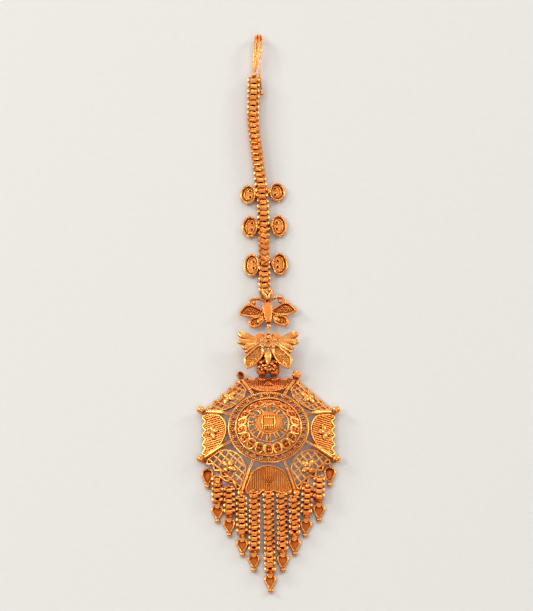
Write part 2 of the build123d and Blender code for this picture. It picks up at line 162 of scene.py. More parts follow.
def cleaned(obj):
    """Merges doubled points and turns every face outwards."""
    only(obj)
    with editing():
        bpy.ops.mesh.select_all(action="SELECT")
        bpy.ops.mesh.remove_doubles(threshold=0.002)
        bpy.ops.mesh.normals_make_consistent(inside=False)
    return obj


def in_scene(name, data):
    """A new object with this data, in the scene."""
    obj = bpy.data.objects.new(name, data)
    bpy.context.scene.collection.objects.link(obj)
    return obj


def moved(obj, matrix):
    """Moves a mesh by a matrix, and keeps its faces outwards under a mirror."""
    obj.data.transform(matrix)
    if matrix.determinant() < 0:
        obj.data.flip_normals()
    return obj


def twin(obj, matrix):
    """A copy with its own mesh, moved by a matrix."""
    other = obj.copy()
    other.data = obj.data.copy()
    bpy.context.scene.collection.objects.link(other)
    return moved(other, matrix)


def joined(parts):
    """One mesh object out of several."""
    only(*parts)
    if len(parts) > 1:
        bpy.ops.object.join()
    return bpy.context.object


def repeated(pattern, matrices):
    """One mesh of many copies of a pattern piece, which is used up."""
    shape = bmesh.new()
    for matrix in matrices:
        mesh = pattern.data.copy()
        mesh.transform(matrix)
        if matrix.determinant() < 0:
            mesh.flip_normals()
        shape.from_mesh(mesh)
        bpy.data.meshes.remove(mesh)
    shape.to_mesh(pattern.data)
    shape.free()
    return pattern


def at(x, y, z=0.0):
    """Matrix that moves a piece."""
    return Matrix.Translation((x, y, z))


def spun(turn, axis="Z"):
    """Matrix that turns a piece about an axis, in degrees."""
    return Matrix.Rotation(radians(turn), 4, axis)


def both_sides(obj):
    """The piece and its mirror image across X, joined."""
    return joined([obj, twin(obj, Matrix.Scale(-1, 4, (1, 0, 0)))])


def shifts(places, size=1.0):
    """A matrix for each place: moves a unit-sized pattern there at a size."""
    return [Matrix.Translation(place) @ Matrix.Scale(size, 4) for place in places]


def angles(count, start=0.0):
    """Even angles round a whole turn."""
    return [start + 2 * pi * step / count for step in range(count)]


def turned_about_z(count, start=0.0):
    """A matrix for each of a number of even turns about Z."""
    return [Matrix.Rotation(a, 4, "Z") for a in angles(count, start)]


def primitive(make, **settings):
    """A mesh from one of the primitive operators."""
    bpy.ops.object.select_all(action="DESELECT")
    make(**settings)
    return bpy.context.object


def node_box(node):
    """Low corner, high corner and middle of a node's box, in millimetres."""
    low, high = (TO_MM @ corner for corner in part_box(node))
    return low, high, (low + high) / 2


# ---------------------------------------------------------------- lines and outlines
def spaced(first, last, count):
    """Even steps from the first value to the last, with both ends."""
    return [first + (last - first) * step / (count - 1) for step in range(count)]


def circle_through(a, b, c):
    """Middle and radius of the circle through three points in a plane."""
    (ax, ay), (bx, by), (cx, cy) = a, b, c
    d = 2 * (ax * (by - cy) + bx * (cy - ay) + cx * (ay - by))
    a2, b2, c2 = ax * ax + ay * ay, bx * bx + by * by, cx * cx + cy * cy
    x = (a2 * (by - cy) + b2 * (cy - ay) + c2 * (ay - by)) / d
    y = (a2 * (cx - bx) + b2 * (ax - cx) + c2 * (bx - ax)) / d
    return x, y, hypot(ax - x, ay - y)


def arc_through(a, b, c, count=14):
    """Points of the arc from a through b to c."""
    x, y, radius = circle_through(a, b, c)
    start, middle, end = (atan2(p[1] - y, p[0] - x) for p in (a, b, c))
    sweep = (end - start) % (2 * pi)
    if (middle - start) % (2 * pi) > sweep:
        sweep -= 2 * pi
    return [(x + radius * cos(start + sweep * s), y + radius * sin(start + sweep * s))
            for s in spaced(0, 1, count)]


def ellipse(x, y, half_width, half_length, count=32, turn=0.0):
    """Points round an ellipse, turned in its plane."""
    points = []
    for a in angles(count):
        px, py = half_width * cos(a), half_length * sin(a)
        points.append((x + px * cos(turn) - py * sin(turn), y + px * sin(turn) + py * cos(turn)))
    return points


def polar(radius, angle, *height):
    """Point at a radius and an angle, with a height where one is given."""
    return (radius * cos(angle), radius * sin(angle), *height)


def squarish(half_width, half_length, across, along, count, start=0.0):
    """Points round an ellipse that powers under 1 square off, across and along."""
    return [(half_width * copysign(abs(cos(a)) ** across, cos(a)),
             half_length * copysign(abs(sin(a)) ** along, sin(a)))
            for a in angles(count, start)]


def two_arcs(a, b, c, d, e, counts):
    """Points of the arc from a through b to c, and of the next through d to e."""
    return arc_through(a, b, c, counts[0]) + arc_through(c, d, e, counts[1])[1:]


def curved(points, closed=False, steps=6):
    """Smooth line through points, without overshooting far from them."""
    count = len(points)
    runs = count if closed else count - 1
    line = []
    for run in range(runs):
        near = [points[(run + k) % count] if closed else points[max(0, min(count - 1, run + k))]
                for k in (-1, 0, 1, 2)]
        for step in range(steps):
            t = step / steps
            weights = (0.5 * (-t + 2 * t ** 2 - t ** 3), 0.5 * (2 - 5 * t ** 2 + 3 * t ** 3),
                       0.5 * (t + 4 * t ** 2 - 3 * t ** 3), 0.5 * (-t ** 2 + t ** 3))
            line.append(tuple(sum(w * p[axis] for w, p in zip(weights, near))
                              for axis in range(len(points[0]))))
    return line if closed else line + [tuple(points[-1])]


def mirrored(right):
    """Closed outline from its right half, listed from one end of the middle to the other."""
    return right + [(-x, y) for x, y in reversed(right) if x > 0.001]


def eased(table, share):
    """Value at a share of the way, between rows of share and value."""
    for (s0, v0), (s1, v1) in zip(table, table[1:]):
        if share <= s1:
            return v0 + (v1 - v0) * (share - s0) / (s1 - s0)
    return table[-1][1]


def lifted(points, z):
    """Flat points set at one height."""
    return [(x, y, z) for x, y in points]


# ---------------------------------------------------------------- wires, sheets, grains
def splines(name, paths, kind, closed, **settings):
    """Mesh from a curve with one spline for each list of points."""
    curve = bpy.data.curves.new(name, "CURVE")
    for setting, value in settings.items():
        setattr(curve, setting, value)
    for path in paths:
        spline = curve.splines.new(kind)
        spline.points.add(len(path) - 1)
        for point, place in zip(spline.points, path):
            point.co = (*place, 1)
        spline.use_cyclic_u = closed
        if kind == "NURBS":
            spline.use_endpoint_u = not closed
            spline.order_u = 3
    only(in_scene(curve.name, curve))
    bpy.ops.object.convert(target="MESH")
    return bpy.context.object


def wires(paths, radius, closed=False, smooth=False, sides=8):
    """Round wires along lists of points, in one mesh."""
    return splines("wire", paths, "NURBS" if smooth else "POLY", closed, dimensions="3D",
                   bevel_depth=radius, bevel_resolution=(sides - 4) // 2,
                   use_fill_caps=True, resolution_u=4)


def sheet(outlines, low, high, edge=0.04):
    """Flat sheet with softened edges: the first outline is its edge, the others its holes."""
    flat = cleaned(splines("sheet", [lifted(outline, 0) for outline in outlines], "POLY", True,
                           dimensions="2D", fill_mode="BOTH"))
    apply_modifier(flat, "SOLIDIFY", thickness=high - low, offset=0)
    moved(cleaned(flat), at(0, 0, (low + high) / 2))
    if edge:
        apply_modifier(flat, "BEVEL", width=edge, segments=2, limit_method="ANGLE",
                       angle_limit=radians(50))
    return flat


def bevelled(obj, chosen, width, segments, border=False):
    """Bevels the edges whose two ends pass a test, or only the border of what they fill."""
    only(obj)
    with editing():
        bpy.ops.mesh.select_all(action="DESELECT")
    for edge in obj.data.edges:
        edge.select = chosen(*(obj.data.vertices[v] for v in edge.vertices))
    with editing():
        bpy.ops.mesh.select_mode(type="EDGE")
        if border:
            bpy.ops.mesh.region_to_loop()
        bpy.ops.mesh.bevel(offset=width, segments=segments, affect="EDGES",
                           clamp_overlap=True)
    return obj


def pillow(outline, low, high, soft):
    """Solid relief with a flat foot and well-rounded shoulders."""
    half_way = (low + high) / 2
    return bevelled(sheet([outline], low, high, 0),
                    lambda a, b: min(a.co.z, b.co.z) > half_way, soft, 4, border=True)


def flattened(obj, z, share):
    """Rolls a piece of wirework flatter about one height."""
    for vertex in obj.data.vertices:
        vertex.co.z = z + (vertex.co.z - z) * share
    return obj


def ball(segments=10, rings=7):
    """Round grain of radius 1 about its own middle."""
    return primitive(bpy.ops.mesh.primitive_uv_sphere_add, segments=segments, ring_count=rings,
                     radius=1)


def grains(places, radius):
    """Solder grains of one size at many places, in one mesh."""
    return repeated(ball(), shifts(places, radius))


def petal(width, length, height, pinch=0.35):
    """Raised petal along Y about its middle: a ball stretched and drawn to two points."""
    blank = ball(14, 12)
    blank.rotation_euler = (pi / 2, 0, 0)
    settle(blank)
    for vertex in blank.data.vertices:
        x, y, z = vertex.co
        narrow = 1 - pinch * y * y
        vertex.co = (x * width / 2 * narrow, y * length / 2, z * height * narrow)
    return blank


def turned(profile, steps=64):
    """Solid of revolution about Z from a closed profile of radius and height."""
    mesh = bpy.data.meshes.new("turned")
    loop = [(r, 0, z) for r, z in profile]
    mesh.from_pydata(loop, [(i, (i + 1) % len(loop)) for i in range(len(loop))], [])
    obj = in_scene("turned", mesh)
    apply_modifier(obj, "SCREW", angle=2 * pi, steps=steps, render_steps=steps,
                   use_merge_vertices=True, merge_threshold=0.001)
    return cleaned(obj)


# ---------------------------------------------------------------- metals
def linear(hex_colour):
    """Linear colour with alpha from an sRGB hex value."""
    channels = [int(hex_colour[i:i + 2], 16) / 255 for i in (1, 3, 5)]
    return [c / 12.92 if c <= 0.04045 else ((c + 0.055) / 1.055) ** 2.4
            for c in channels] + [1.0]


def add(tree, kind, inputs=None, **settings):
    """Adds a node, sets its properties and sockets, and links what is given as a socket."""
    made = tree.nodes.new(kind)
    for name, value in settings.items():
        setattr(made, name, value)
    for socket, value in (inputs or {}).items():
        if isinstance(value, bpy.types.NodeSocket):
            tree.links.new(value, made.inputs[socket])
        else:
            made.inputs[socket].default_value = value
    return made


def noise(tree, place, size, **inputs):
    """Noise whose pattern has a size in millimetres, in a frame in metres."""
    made = add(tree, "ShaderNodeTexNoise", {"Vector": place, "Scale": 1000 / size, **inputs})
    return made.outputs["Fac"]


def ranged(tree, value, low, high, to_low=0.0, to_high=1.0):
    """Maps a value from one range to another."""
    ends = {"From Min": low, "From Max": high, "To Min": to_low, "To Max": to_high}
    return add(tree, "ShaderNodeMapRange", {"Value": value, **ends}).outputs["Result"]


def mixed(tree, share, a, b):
    """Mixes two colours by a share."""
    made = add(tree, "ShaderNodeMix", {"Factor": share, "A": a, "B": b}, data_type="RGBA")
    return made.outputs["Result"]


def new_material(name):
    """A material, its node tree, its shader, and the place on the object."""
    material = bpy.data.materials.new(name)
    material.use_nodes = True
    tree = material.node_tree
    place = add(tree, "ShaderNodeTexCoord").outputs["Object"]
    return material, tree, tree.nodes["Principled BSDF"], place


def gilt(name, warm, pale, painted_shade_tint, roughness, grain, grain_depth, reach):
    """Gold plate on brass: two tones of gold, painted red-brown shade where ambient occlusion
    finds hollows, and a fine grain.
    """
    material, tree, shader, place = new_material(name)
    patches = noise(tree, place, 2.2, Detail=3.0, Roughness=0.6)
    gold = mixed(tree, ranged(tree, patches, 0.35, 0.65), linear(warm), linear(pale))
    # painted shade: the dark colour is mixed in where ambient occlusion finds nearby surfaces
    hollow = add(tree, "ShaderNodeAmbientOcclusion", {"Distance": reach}, samples=6)
    unshaded_share = ranged(tree, hollow.outputs["AO"], 0.3, 0.9)
    colour = mixed(tree, unshaded_share, linear(painted_shade_tint), gold)
    tree.links.new(colour, shader.inputs["Base Color"])

    fine = noise(tree, place, grain, Detail=4.0, Roughness=0.65)
    polish = ranged(tree, fine, 0.3, 0.7, roughness * 0.75, roughness * 1.35)
    bump = add(tree, "ShaderNodeBump", {"Height": fine, "Strength": 1.0,
                                        "Distance": grain_depth * 0.001})
    tree.links.new(polish, shader.inputs["Roughness"])
    tree.links.new(bump.outputs["Normal"], shader.inputs["Normal"])
    shader.inputs["Metallic"].default_value = 1.0
    return material


# In every metal below, the third colour is painted shade, mixed in where ambient occlusion finds
# hollows.
# Stamped brass sheet under gold plate: a satin face with a faint orange-peel grain.
gilt_satin = gilt("gilt_satin_sheet", "#F08A3F", "#FCA050", "#701606", 0.31, 0.35, 0.010,
                  0.0008)
# Drawn wire under gold plate: burnished, so it carries sharp pale lines of light.
gilt_wire = gilt("gilt_burnished_wire", "#FA9244", "#FFAA58", "#7A1C06", 0.24, 0.5, 0.003,
                 0.0008)
# Rolled strip of the links: gold, with painted copper-red shade inside and between the links.
gilt_link = gilt("gilt_chain_strip", "#F0863A", "#FFA654", "#600C02", 0.2, 0.4, 0.006,
                 0.0010)
# A paler copy of the gold for edges, wires and beads that catch the lamps: a painted highlight.
gilt_painted_highlight = gilt("painted_highlight_gold", "#FF9A46", "#FFB462", "#7A1C06", 0.23, 0.5, 0.003,
                   0.0007)
# Stamped reliefs polished on a wheel: smooth, with faint waviness along the shape.
gilt_relief = gilt("gilt_wheel_polished", "#F89646", "#FFB060", "#701606", 0.22, 0.8, 0.006,
                   0.0009)
# A still paler, nearly yellow copy of the gold for pieces that face the lamps most: a stronger
# painted highlight.
gilt_painted_strong_highlight = gilt("painted_strong_highlight_gold", "#FFA44E", "#FFB866", "#8A2408", 0.24, 0.5, 0.003,
                 0.0006)
# A darker copper-red copy of the gold for the floors of hollows: painted shade.
gilt_painted_recess_shade = gilt("painted_shade_gold", "#C4622A", "#D87634", "#501004", 0.38, 0.4, 0.012,
                   0.0010)


def finished(obj, name, material, slot, *nodes, soft=60):
    """Names a piece, gives it its metal and sets it into the frame."""
    obj.name = obj.data.name = name
    obj.data.transform(TO_FRAME)
    obj.data.materials.clear()
    obj.data.materials.append(material)
    only(obj)
    bpy.ops.object.shade_smooth_by_angle(angle=radians(soft))
    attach(obj, "root")
    if nodes:
        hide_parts(*nodes)
    return obj


# ---------------------------------------------------------------- panels
def side_u(v, inset):
    """Half width of a panel at a height up its slope."""
    return (APOTHEM - v * cos(SLOPE)) * tan(HALF_SIDE) - PANEL_CLEARANCE - inset


def wave_v(u, inset):
    """Wavy edge: five bumps towards the rim of the pendant."""
    return WAVE_NEAR + inset + WAVE_DEPTH / 2 * (1 - cos(2 * pi * u / WAVE_PITCH))


def arch_circle(inset):
    """Circle of the right half of the pointed arch."""
    apex = (APOTHEM - COLLAR_RADIUS - COLLAR_WIRE - GAP) / cos(SLOPE) - inset
    spring = (side_u(ARCH_SPRING, inset), ARCH_SPRING)
    haunch = (spring[0] * 0.58, ARCH_SPRING + (apex - ARCH_SPRING) * 0.68)
    return circle_through(spring, haunch, (0, apex))


def panel_top(u, inset):
    """How far up the slope a panel reaches at a place along its edge."""
    if abs(u) > side_u(ARCH_SPRING, inset):
        flat = (abs(u) + PANEL_CLEARANCE + inset) / tan(HALF_SIDE)
        return (APOTHEM - flat) / cos(SLOPE)
    x, y, radius = arch_circle(inset)
    return y + sqrt(radius ** 2 - (abs(u) - x) ** 2)


def panel_reach(v, inset):
    """Half width of a panel at a height, with the arch."""
    if v <= ARCH_SPRING:
        return side_u(v, inset)
    x, y, radius = arch_circle(inset)
    return x + sqrt(radius ** 2 - (v - y) ** 2)


def wave_edge(inset):
    """Outer edge of a panel: the waves and the rounded corners."""
    corner = side_u(CORNER_V, inset)
    waves = [(u, wave_v(u, inset)) for u in spaced(-corner + 0.4, corner - 0.4, 57)]
    rounding = [(corner - 0.1, CORNER_V + inset), (corner, CORNER_V + 0.25 + inset)]
    return [(-u, v) for u, v in reversed(rounding)] + waves + rounding


def arch_edge(inset, start=1.2):
    """Sides and arch of a panel, from its right side over to its left."""
    spring = side_u(ARCH_SPRING, inset)
    sides = [(side_u(v, inset), v) for v in (start, 2.4, 3.7)]
    arch = [(u, panel_top(u, inset)) for u in spaced(spring, -spring, 33)]
    return sides + arch + [(-u, v) for u, v in reversed(sides)]


def panel_outline(inset):
    """Whole edge of a panel."""
    return wave_edge(inset) + arch_edge(inset, 1.6)


def panel_place(turn):
    """Sets a panel's own plane on its side of the pendant."""
    lower = EDGE_TOP - SHEET / cos(SLOPE)
    return spun(turn) @ at(0, -APOTHEM, lower) @ Matrix.Rotation(SLOPE, 4, "X")


def panel_rim():
    """Bright wire along the waves and a finer one round the arch."""
    wave = wires([lifted(wave_edge(RIM_WIRE - 0.1), SHEET)], RIM_WIRE, sides=12)
    arch = wires([lifted(arch_edge(ARCH_WIRE - 0.05), SHEET + 0.05)], ARCH_WIRE, sides=12)
    return joined([flattened(wave, SHEET, 0.7), flattened(arch, SHEET + 0.05, 0.7)])


def fan_sheet():
    """Plain sheet of a fan."""
    return sheet([panel_outline(0.1)], 0.05, SHEET)


def fan_ribs(pitch):
    """Fine straight ribs up the slope of a fan."""
    paths = []
    count = int(5.3 / pitch)
    for step in range(-count, count + 1):
        u = step * pitch
        low, high = max(wave_v(u, 0.72), 0.85), panel_top(u, 0.45)
        if high - low > 0.6:
            paths.append([(u, low, SHEET - 0.01), (u, high, SHEET - 0.01)])
    return wires(paths, pitch * 0.38, sides=8)


def flower():
    """Three large petals and a small one round a grain, standing on the panel."""
    parts = []
    for turn, size in ((8, 1.0), (80, 0.95), (-66, 1.0), (172, 0.75)):
        leaf = petal(1.42 * size ** 0.5, 2.1 * size, 0.36, 0.42)
        parts.append(moved(leaf, spun(turn) @ at(0, 1.14 * size, 0.14) @ spun(-8, "X")))
    parts.append(grains([(0, 0, 0.05)], 0.3))
    return moved(joined(parts), at(0, FLOWER_V - 0.15, SHEET + 0.16))


def flower_seat():
    """Small round of sheet that carries the flower of a pierced panel."""
    return sheet([ellipse(0, FLOWER_V + 0.15, 1.0, 1.0, 20)], 0.1, SHEET)


def grain_triangle():
    """Small triangle of grains, its point towards the rim."""
    places = []
    for row in range(5):
        for column in range(row + 1):
            places.append(((column - row / 2) * 0.46, FLOWER_V - 0.8 + row * 0.4, SHEET + 0.2))
    return grains(places, 0.21)


def lattice_sheet():
    """Plain border of a pierced panel, sunk below its wires and broad behind the waves."""
    opening = LATTICE_FOOT + 0.05
    return sheet([panel_outline(0.1), arch_edge(0.38, opening)], 0.0, SHEET - 0.22)


def lattice_wires():
    """Square lattice of flattened wires inside a straight foot wire."""
    paths = []
    for column in range(-4, 4):
        u = (column + 0.5) * LATTICE_PITCH
        high = panel_top(u, 0.2)
        if high - LATTICE_FOOT > 0.5:
            paths.append([(u, LATTICE_FOOT, SHEET), (u, high, SHEET)])
    for row in range(1, 4):
        v = LATTICE_FOOT + row * LATTICE_PITCH
        reach = panel_reach(v, 0.2)
        paths.append([(-reach, v, SHEET - 0.08), (reach, v, SHEET - 0.08)])
    foot = side_u(LATTICE_FOOT, 0.2)
    thin = flattened(wires(paths, 0.24, sides=12), SHEET, 0.5)
    thick = wires([[(-foot, LATTICE_FOOT, SHEET + 0.03), (foot, LATTICE_FOOT, SHEET + 0.03)]],
                  0.27, sides=12)
    return joined([thin, thick])


def make_panels():
    """Eight panels, each kind modelled once and turned to its places."""
    fan, rim = fan_sheet(), panel_rim()
    ribs, side_ribs = fan_ribs(RIB_PITCH), fan_ribs(SIDE_RIB_PITCH)
    blossom, triangle = flower(), grain_triangle()
    border, lattice, seat = lattice_sheet(), lattice_wires(), flower_seat()
    for side, turn in (("bottom", 0), ("right", 90), ("top", 180), ("left", 270)):
        place = panel_place(turn)
        node = f"fan_panel_{side}"
        motif, lines = (blossom, side_ribs) if side in ("left", "right") else (triangle, ribs)
        finished(joined([twin(fan, place), twin(lines, place)]), f"{node}_sheet", gilt_satin,
                 "gilt_sheet", node)
        finished(twin(rim, place), f"{node}_rim", gilt_wire, "gilt_sheet")
        # the flowers take the palest copy of the gold: a painted highlight
        finished(twin(motif, place), f"{node}_motif",
                 gilt_painted_strong_highlight if motif is blossom else gilt_satin, "gilt_sheet")
    for side, turn in (("lower_right", 45), ("upper_right", 135), ("upper_left", 225),
                       ("lower_left", 315)):
        place = panel_place(turn)
        node = f"lattice_panel_{side}"
        finished(joined([twin(border, place), twin(seat, place)]), f"{node}_sheet",
                 gilt_satin, "gilt_sheet", node)
        # lattice wires and rims take the pale copy of the gold: a painted highlight
        finished(joined([twin(lattice, place), twin(rim, place)]), f"{node}_wires",
                 gilt_painted_highlight, "gilt_sheet")
        finished(twin(blossom, place), f"{node}_motif", gilt_painted_strong_highlight, "gilt_sheet")
    for pattern in (fan, ribs, side_ribs, rim, blossom, triangle, border, lattice, seat):
        bpy.data.objects.remove(pattern)


# ---------------------------------------------------------------- ring, dome and boss
def dome_height(radius):
    """Height of the dome's sphere at a radius from the middle."""
    foot = sqrt(DOME_SPHERE ** 2 - DOME_RADIUS ** 2)
    return DOME_BASE + sqrt(DOME_SPHERE ** 2 - radius ** 2) - foot


def circle_path(radius, z, count=72):
    """Points of a level circle round the middle."""
    return lifted(ellipse(0, 0, radius, radius, count), z)


def make_ring():
    """Pierced ring: a band with square holes, pairs of grains, a wire on both edges."""
    holes = [ellipse(*polar(RING_HOLE_RADIUS, a), RING_HOLE_REACH, RING_HOLE_REACH, count=4,
                     turn=a + pi / 4) for a in angles(RING_HOLES)]
    band = sheet([ellipse(0, 0, RING_OUTER, RING_OUTER, 120)] + holes
                 + [ellipse(0, 0, RING_INNER, RING_INNER, 96)], RING_BASE, RING_TOP, 0.05)
    finished(band, "dome_ring_band", gilt_satin, "gilt_sheet", "dome_ring")
    places = [polar(radius, a + side, RING_TOP + 0.05)
              for a in angles(RING_HOLES, pi / RING_HOLES)
              for radius in RING_GRAIN_RADII for side in (-0.027, 0.027)]
    beads = [polar(RING_BEAD_RADIUS, a, RING_TOP + 0.06) for a in angles(RING_BEADS)]
    inner = wires([circle_path(RING_INNER + 0.2, RING_TOP + 0.1)], 0.22, closed=True)
    # grains, beads and inner wire take the pale copy of the gold: a painted highlight
    finished(joined([grains(places, 0.21), grains(beads, 0.2), inner]), "dome_ring_wires",
             gilt_painted_highlight, "gilt_sheet")


def rosette():
    """Round of the dome in its own plane: wire ring, pierced round and a middle grain."""
    petals = [ellipse(0.42 * cos(a), 0.6 * sin(a), 0.16, 0.24, 8, turn=a - pi / 2)
              for a in angles(4, pi / 4)]
    back = sheet([ellipse(0, 0, 0.9, 1.26, 28)] + petals, -0.02, 0.12, 0.03)
    floor = sheet([ellipse(0, 0, 0.9, 1.26, 20)], -0.4, -0.3, 0)
    line = lifted(squarish(0.89, 1.2, 0.8, 0.8, 32, 0.05), 0.1)
    ring = flattened(wires([line], 0.28, closed=True, sides=12), 0.1, 0.5)
    middle = grains([(0, 0, 0.14)], 0.24)
    return moved(joined([back, floor]), spun(90)), moved(joined([ring, middle]), spun(90))


def spoke():
    """Spoke of the dome along +X: two thin wires with paired grains between them."""
    inner, outer = 2.75, 4.5
    paths = []
    for side in (-1, 1):
        paths.append([(r, side * (0.36 + 0.06 * (r - inner)), dome_height(r))
                      for r in spaced(inner, outer, 5)])
    bed = [[(r, side * 0.2, dome_height(r) - 0.16) for r in spaced(inner, outer, 5)]
           for side in (-1, 1)]
    places = []
    for r in spaced(inner + 0.28, outer - 0.22, 5):
        places += [(r, side * 0.16, dome_height(r) + 0.02) for side in (-1, 1)]
    return joined([wires(paths, 0.11, sides=6), wires(bed, 0.2, sides=6),
                   grains(places, 0.15)])


def make_dome():
    """Open dome: rosettes between two wires, and spokes up to the seat of the boss."""
    slope = asin(ROSETTE_RADIUS / DOME_SPHERE)
    seat = (at(ROSETTE_RADIUS, 0, dome_height(ROSETTE_RADIUS) - 0.02)
            @ Matrix.Rotation(slope, 4, "Y"))
    rounds = [turn @ seat for turn in turned_about_z(ROSETTES, radians(10))]
    back, front = rosette()
    inner, outer = (BOSS_RADIUS + 0.04, dome_height(BOSS_RADIUS)), (3.12, dome_height(3.1))
    annulus = turned([(inner[0], inner[1] - 0.4), (outer[0], outer[1] - 0.4), outer, inner])
    finished(annulus, "dome_seat", gilt_satin, "gilt_sheet")
    # the backs and floors of the rosettes take the darker copy of the gold: painted shade
    finished(repeated(back, rounds), "dome_rounds", gilt_painted_recess_shade, "gilt_sheet", "dome")
    fills = [polar(FILL_RADIUS, a, dome_height(FILL_RADIUS) + 0.02) for a in angles(ROSETTES)]
    circles = [circle_path(SPOKE_WIRE_RADIUS, dome_height(SPOKE_WIRE_RADIUS) + 0.06),
               circle_path(FOOT_WIRE_RADIUS, DOME_BASE + 0.16)]
    # rosette rings, spokes and dome wires take the pale copy of the gold: a painted highlight
    finished(repeated(front, rounds), "dome_round_rings", gilt_painted_highlight, "gilt_sheet")
    lines = joined([grains(fills, 0.22), wires(circles, 0.2, closed=True),
                    repeated(spoke(), turned_about_z(SPOKES))])
    finished(lines, "dome_wires", gilt_painted_highlight, "gilt_sheet")


def make_boss():
    """Turned boss with a raised rim, and a low barrel ribbed at its sides and ends."""
    profile = [(0, 0), (BOSS_RADIUS, 0), (BOSS_RADIUS + 0.04, 0.45), (2.58, 0.58), (0, 0.66)]
    lift = at(0, 0, BOSS_BASE)
    button = moved(turned(profile), lift)
    barrel = pillow(squarish(1.0, 1.2, 0.55, 0.6, 40), 0.4, 0.92, 0.24)
    ribs = []
    for side in (-1, 1):
        ribs.append([(side * 1.2, -1.9, 0.6), (side * 1.4, -1.4, 0.76), (side * 1.46, 0, 0.8),
                     (side * 1.4, 1.4, 0.76), (side * 1.2, 1.9, 0.6)])
    ticks = []
    for x in spaced(-0.84, 0.84, 5):
        for side in (-1, 1):
            ticks.append([(x, side * 0.9, 0.93), (x, side * 1.5, 0.95),
                          (x * 0.96, side * 2.0, 0.7)])
    lines = joined([wires(ribs, 0.14), wires(ticks, 0.12, sides=8)])
    finished(joined([button, moved(barrel, lift)]), "boss_turned", gilt_satin, "gilt_sheet",
             "boss")
    # the ribs take the palest copy of the gold: a painted highlight
    finished(moved(lines, lift), "boss_ribs", gilt_painted_strong_highlight, "gilt_sheet")


# ---------------------------------------------------------------- frame of the pendant
def ridge_point(radius, lift=0.0):
    """Point of the ridge at half a side round from +X."""
    height = EDGE_TOP + (APOTHEM - radius * cos(HALF_SIDE)) * tan(SLOPE) + lift
    return Vector(polar(radius, HALF_SIDE, height))


def ridge():
    """Tube of a ridge, its two thin inner wires, and the post at its outer end."""
    outer = ridge_point(CORNER_REACH - 0.35, 0.1)
    inner = ridge_point(COLLAR_RADIUS + 0.45)
    bend = outer + (inner - outer) * BAR_SHARE
    across = Vector((-outer.y, outer.x, 0)).normalized() * 0.17
    end = Vector((COLLAR_RADIUS * outer.x, COLLAR_RADIUS * outer.y, 0)) / outer.xy.length
    end.z = RING_BASE + 0.25
    foot = Vector((outer.x, outer.y, 0.05))
    tube = wires([[outer, bend]], BAR_RADIUS, sides=12)
    post = wires([[foot, outer]], BAR_RADIUS, sides=12)
    struts = wires([[bend - across, end - across], [bend + across, end + across]], 0.15)
    ends = grains([outer, bend], BAR_RADIUS)
    return joined([tube, post, struts, ends])


def finial():
    """Ball soldered to a corner, with a fine wire round its neck."""
    middle = Vector((0, 0, FINIAL_HEIGHT))
    bead = moved(ball(20, 14), Matrix.Translation(middle) @ Matrix.Scale(FINIAL_RADIUS, 4))
    neck = wires([[(-0.72, *polar(0.5, a)) for a in angles(12)]], 0.13, closed=True)
    return joined([bead, moved(neck, Matrix.Translation(middle))])


def open_bead():
    """Bead of one corner that has lost its cap, so that it is an open cup."""
    wall = [(FINIAL_RADIUS * sin(a), -FINIAL_RADIUS * cos(a)) for a in spaced(0, 0.68 * pi, 14)]
    inside = [(r * 0.78, z * 0.8) for r, z in reversed(wall)]
    return moved(turned(wall + inside, 24), at(0, 0, FINIAL_HEIGHT) @ spun(24, "X"))


def square_bead():
    """Bead of one corner that is pressed into a soft-edged block."""
    block = primitive(bpy.ops.mesh.primitive_cube_add, size=1, scale=(1.65, 1.95, 1.5),
                      location=(0, 0, FINIAL_HEIGHT + 0.15))
    return apply_modifier(settle(block), "BEVEL", width=0.5, segments=5)


def make_frame():
    """Rest strip, ridges and corner beads, and the collar that the ridges run into."""
    octagon = ellipse(0, 0, CORNER_REACH, CORNER_REACH, SIDES, turn=HALF_SIDE)
    strip = sheet([[(x * share, y * share) for x, y in octagon] for share in (0.93, 0.88)],
                  0, 0.3)
    finished(strip, "frame_strip", gilt_satin, "gilt_wire", "pendant_frame")

    collar = wires([circle_path(COLLAR_RADIUS, RING_BASE + 0.23, 96)], COLLAR_WIRE, closed=True)
    # ridges and collar take the pale copy of the gold: a painted highlight
    finished(joined([repeated(ridge(), turned_about_z(SIDES)), collar]), "frame_ridges",
             gilt_painted_highlight, "gilt_wire")

    reach = [turn @ at(FINIAL_REACH, 0) for turn in turned_about_z(SIDES, HALF_SIDE)]
    cup = moved(open_bead(), reach[2])
    block = moved(square_bead(), reach[1])
    round_ones = repeated(finial(), reach[:1] + reach[3:])
    finished(joined([round_ones, cup, block]), "frame_beads", gilt_relief, "gilt_wire")


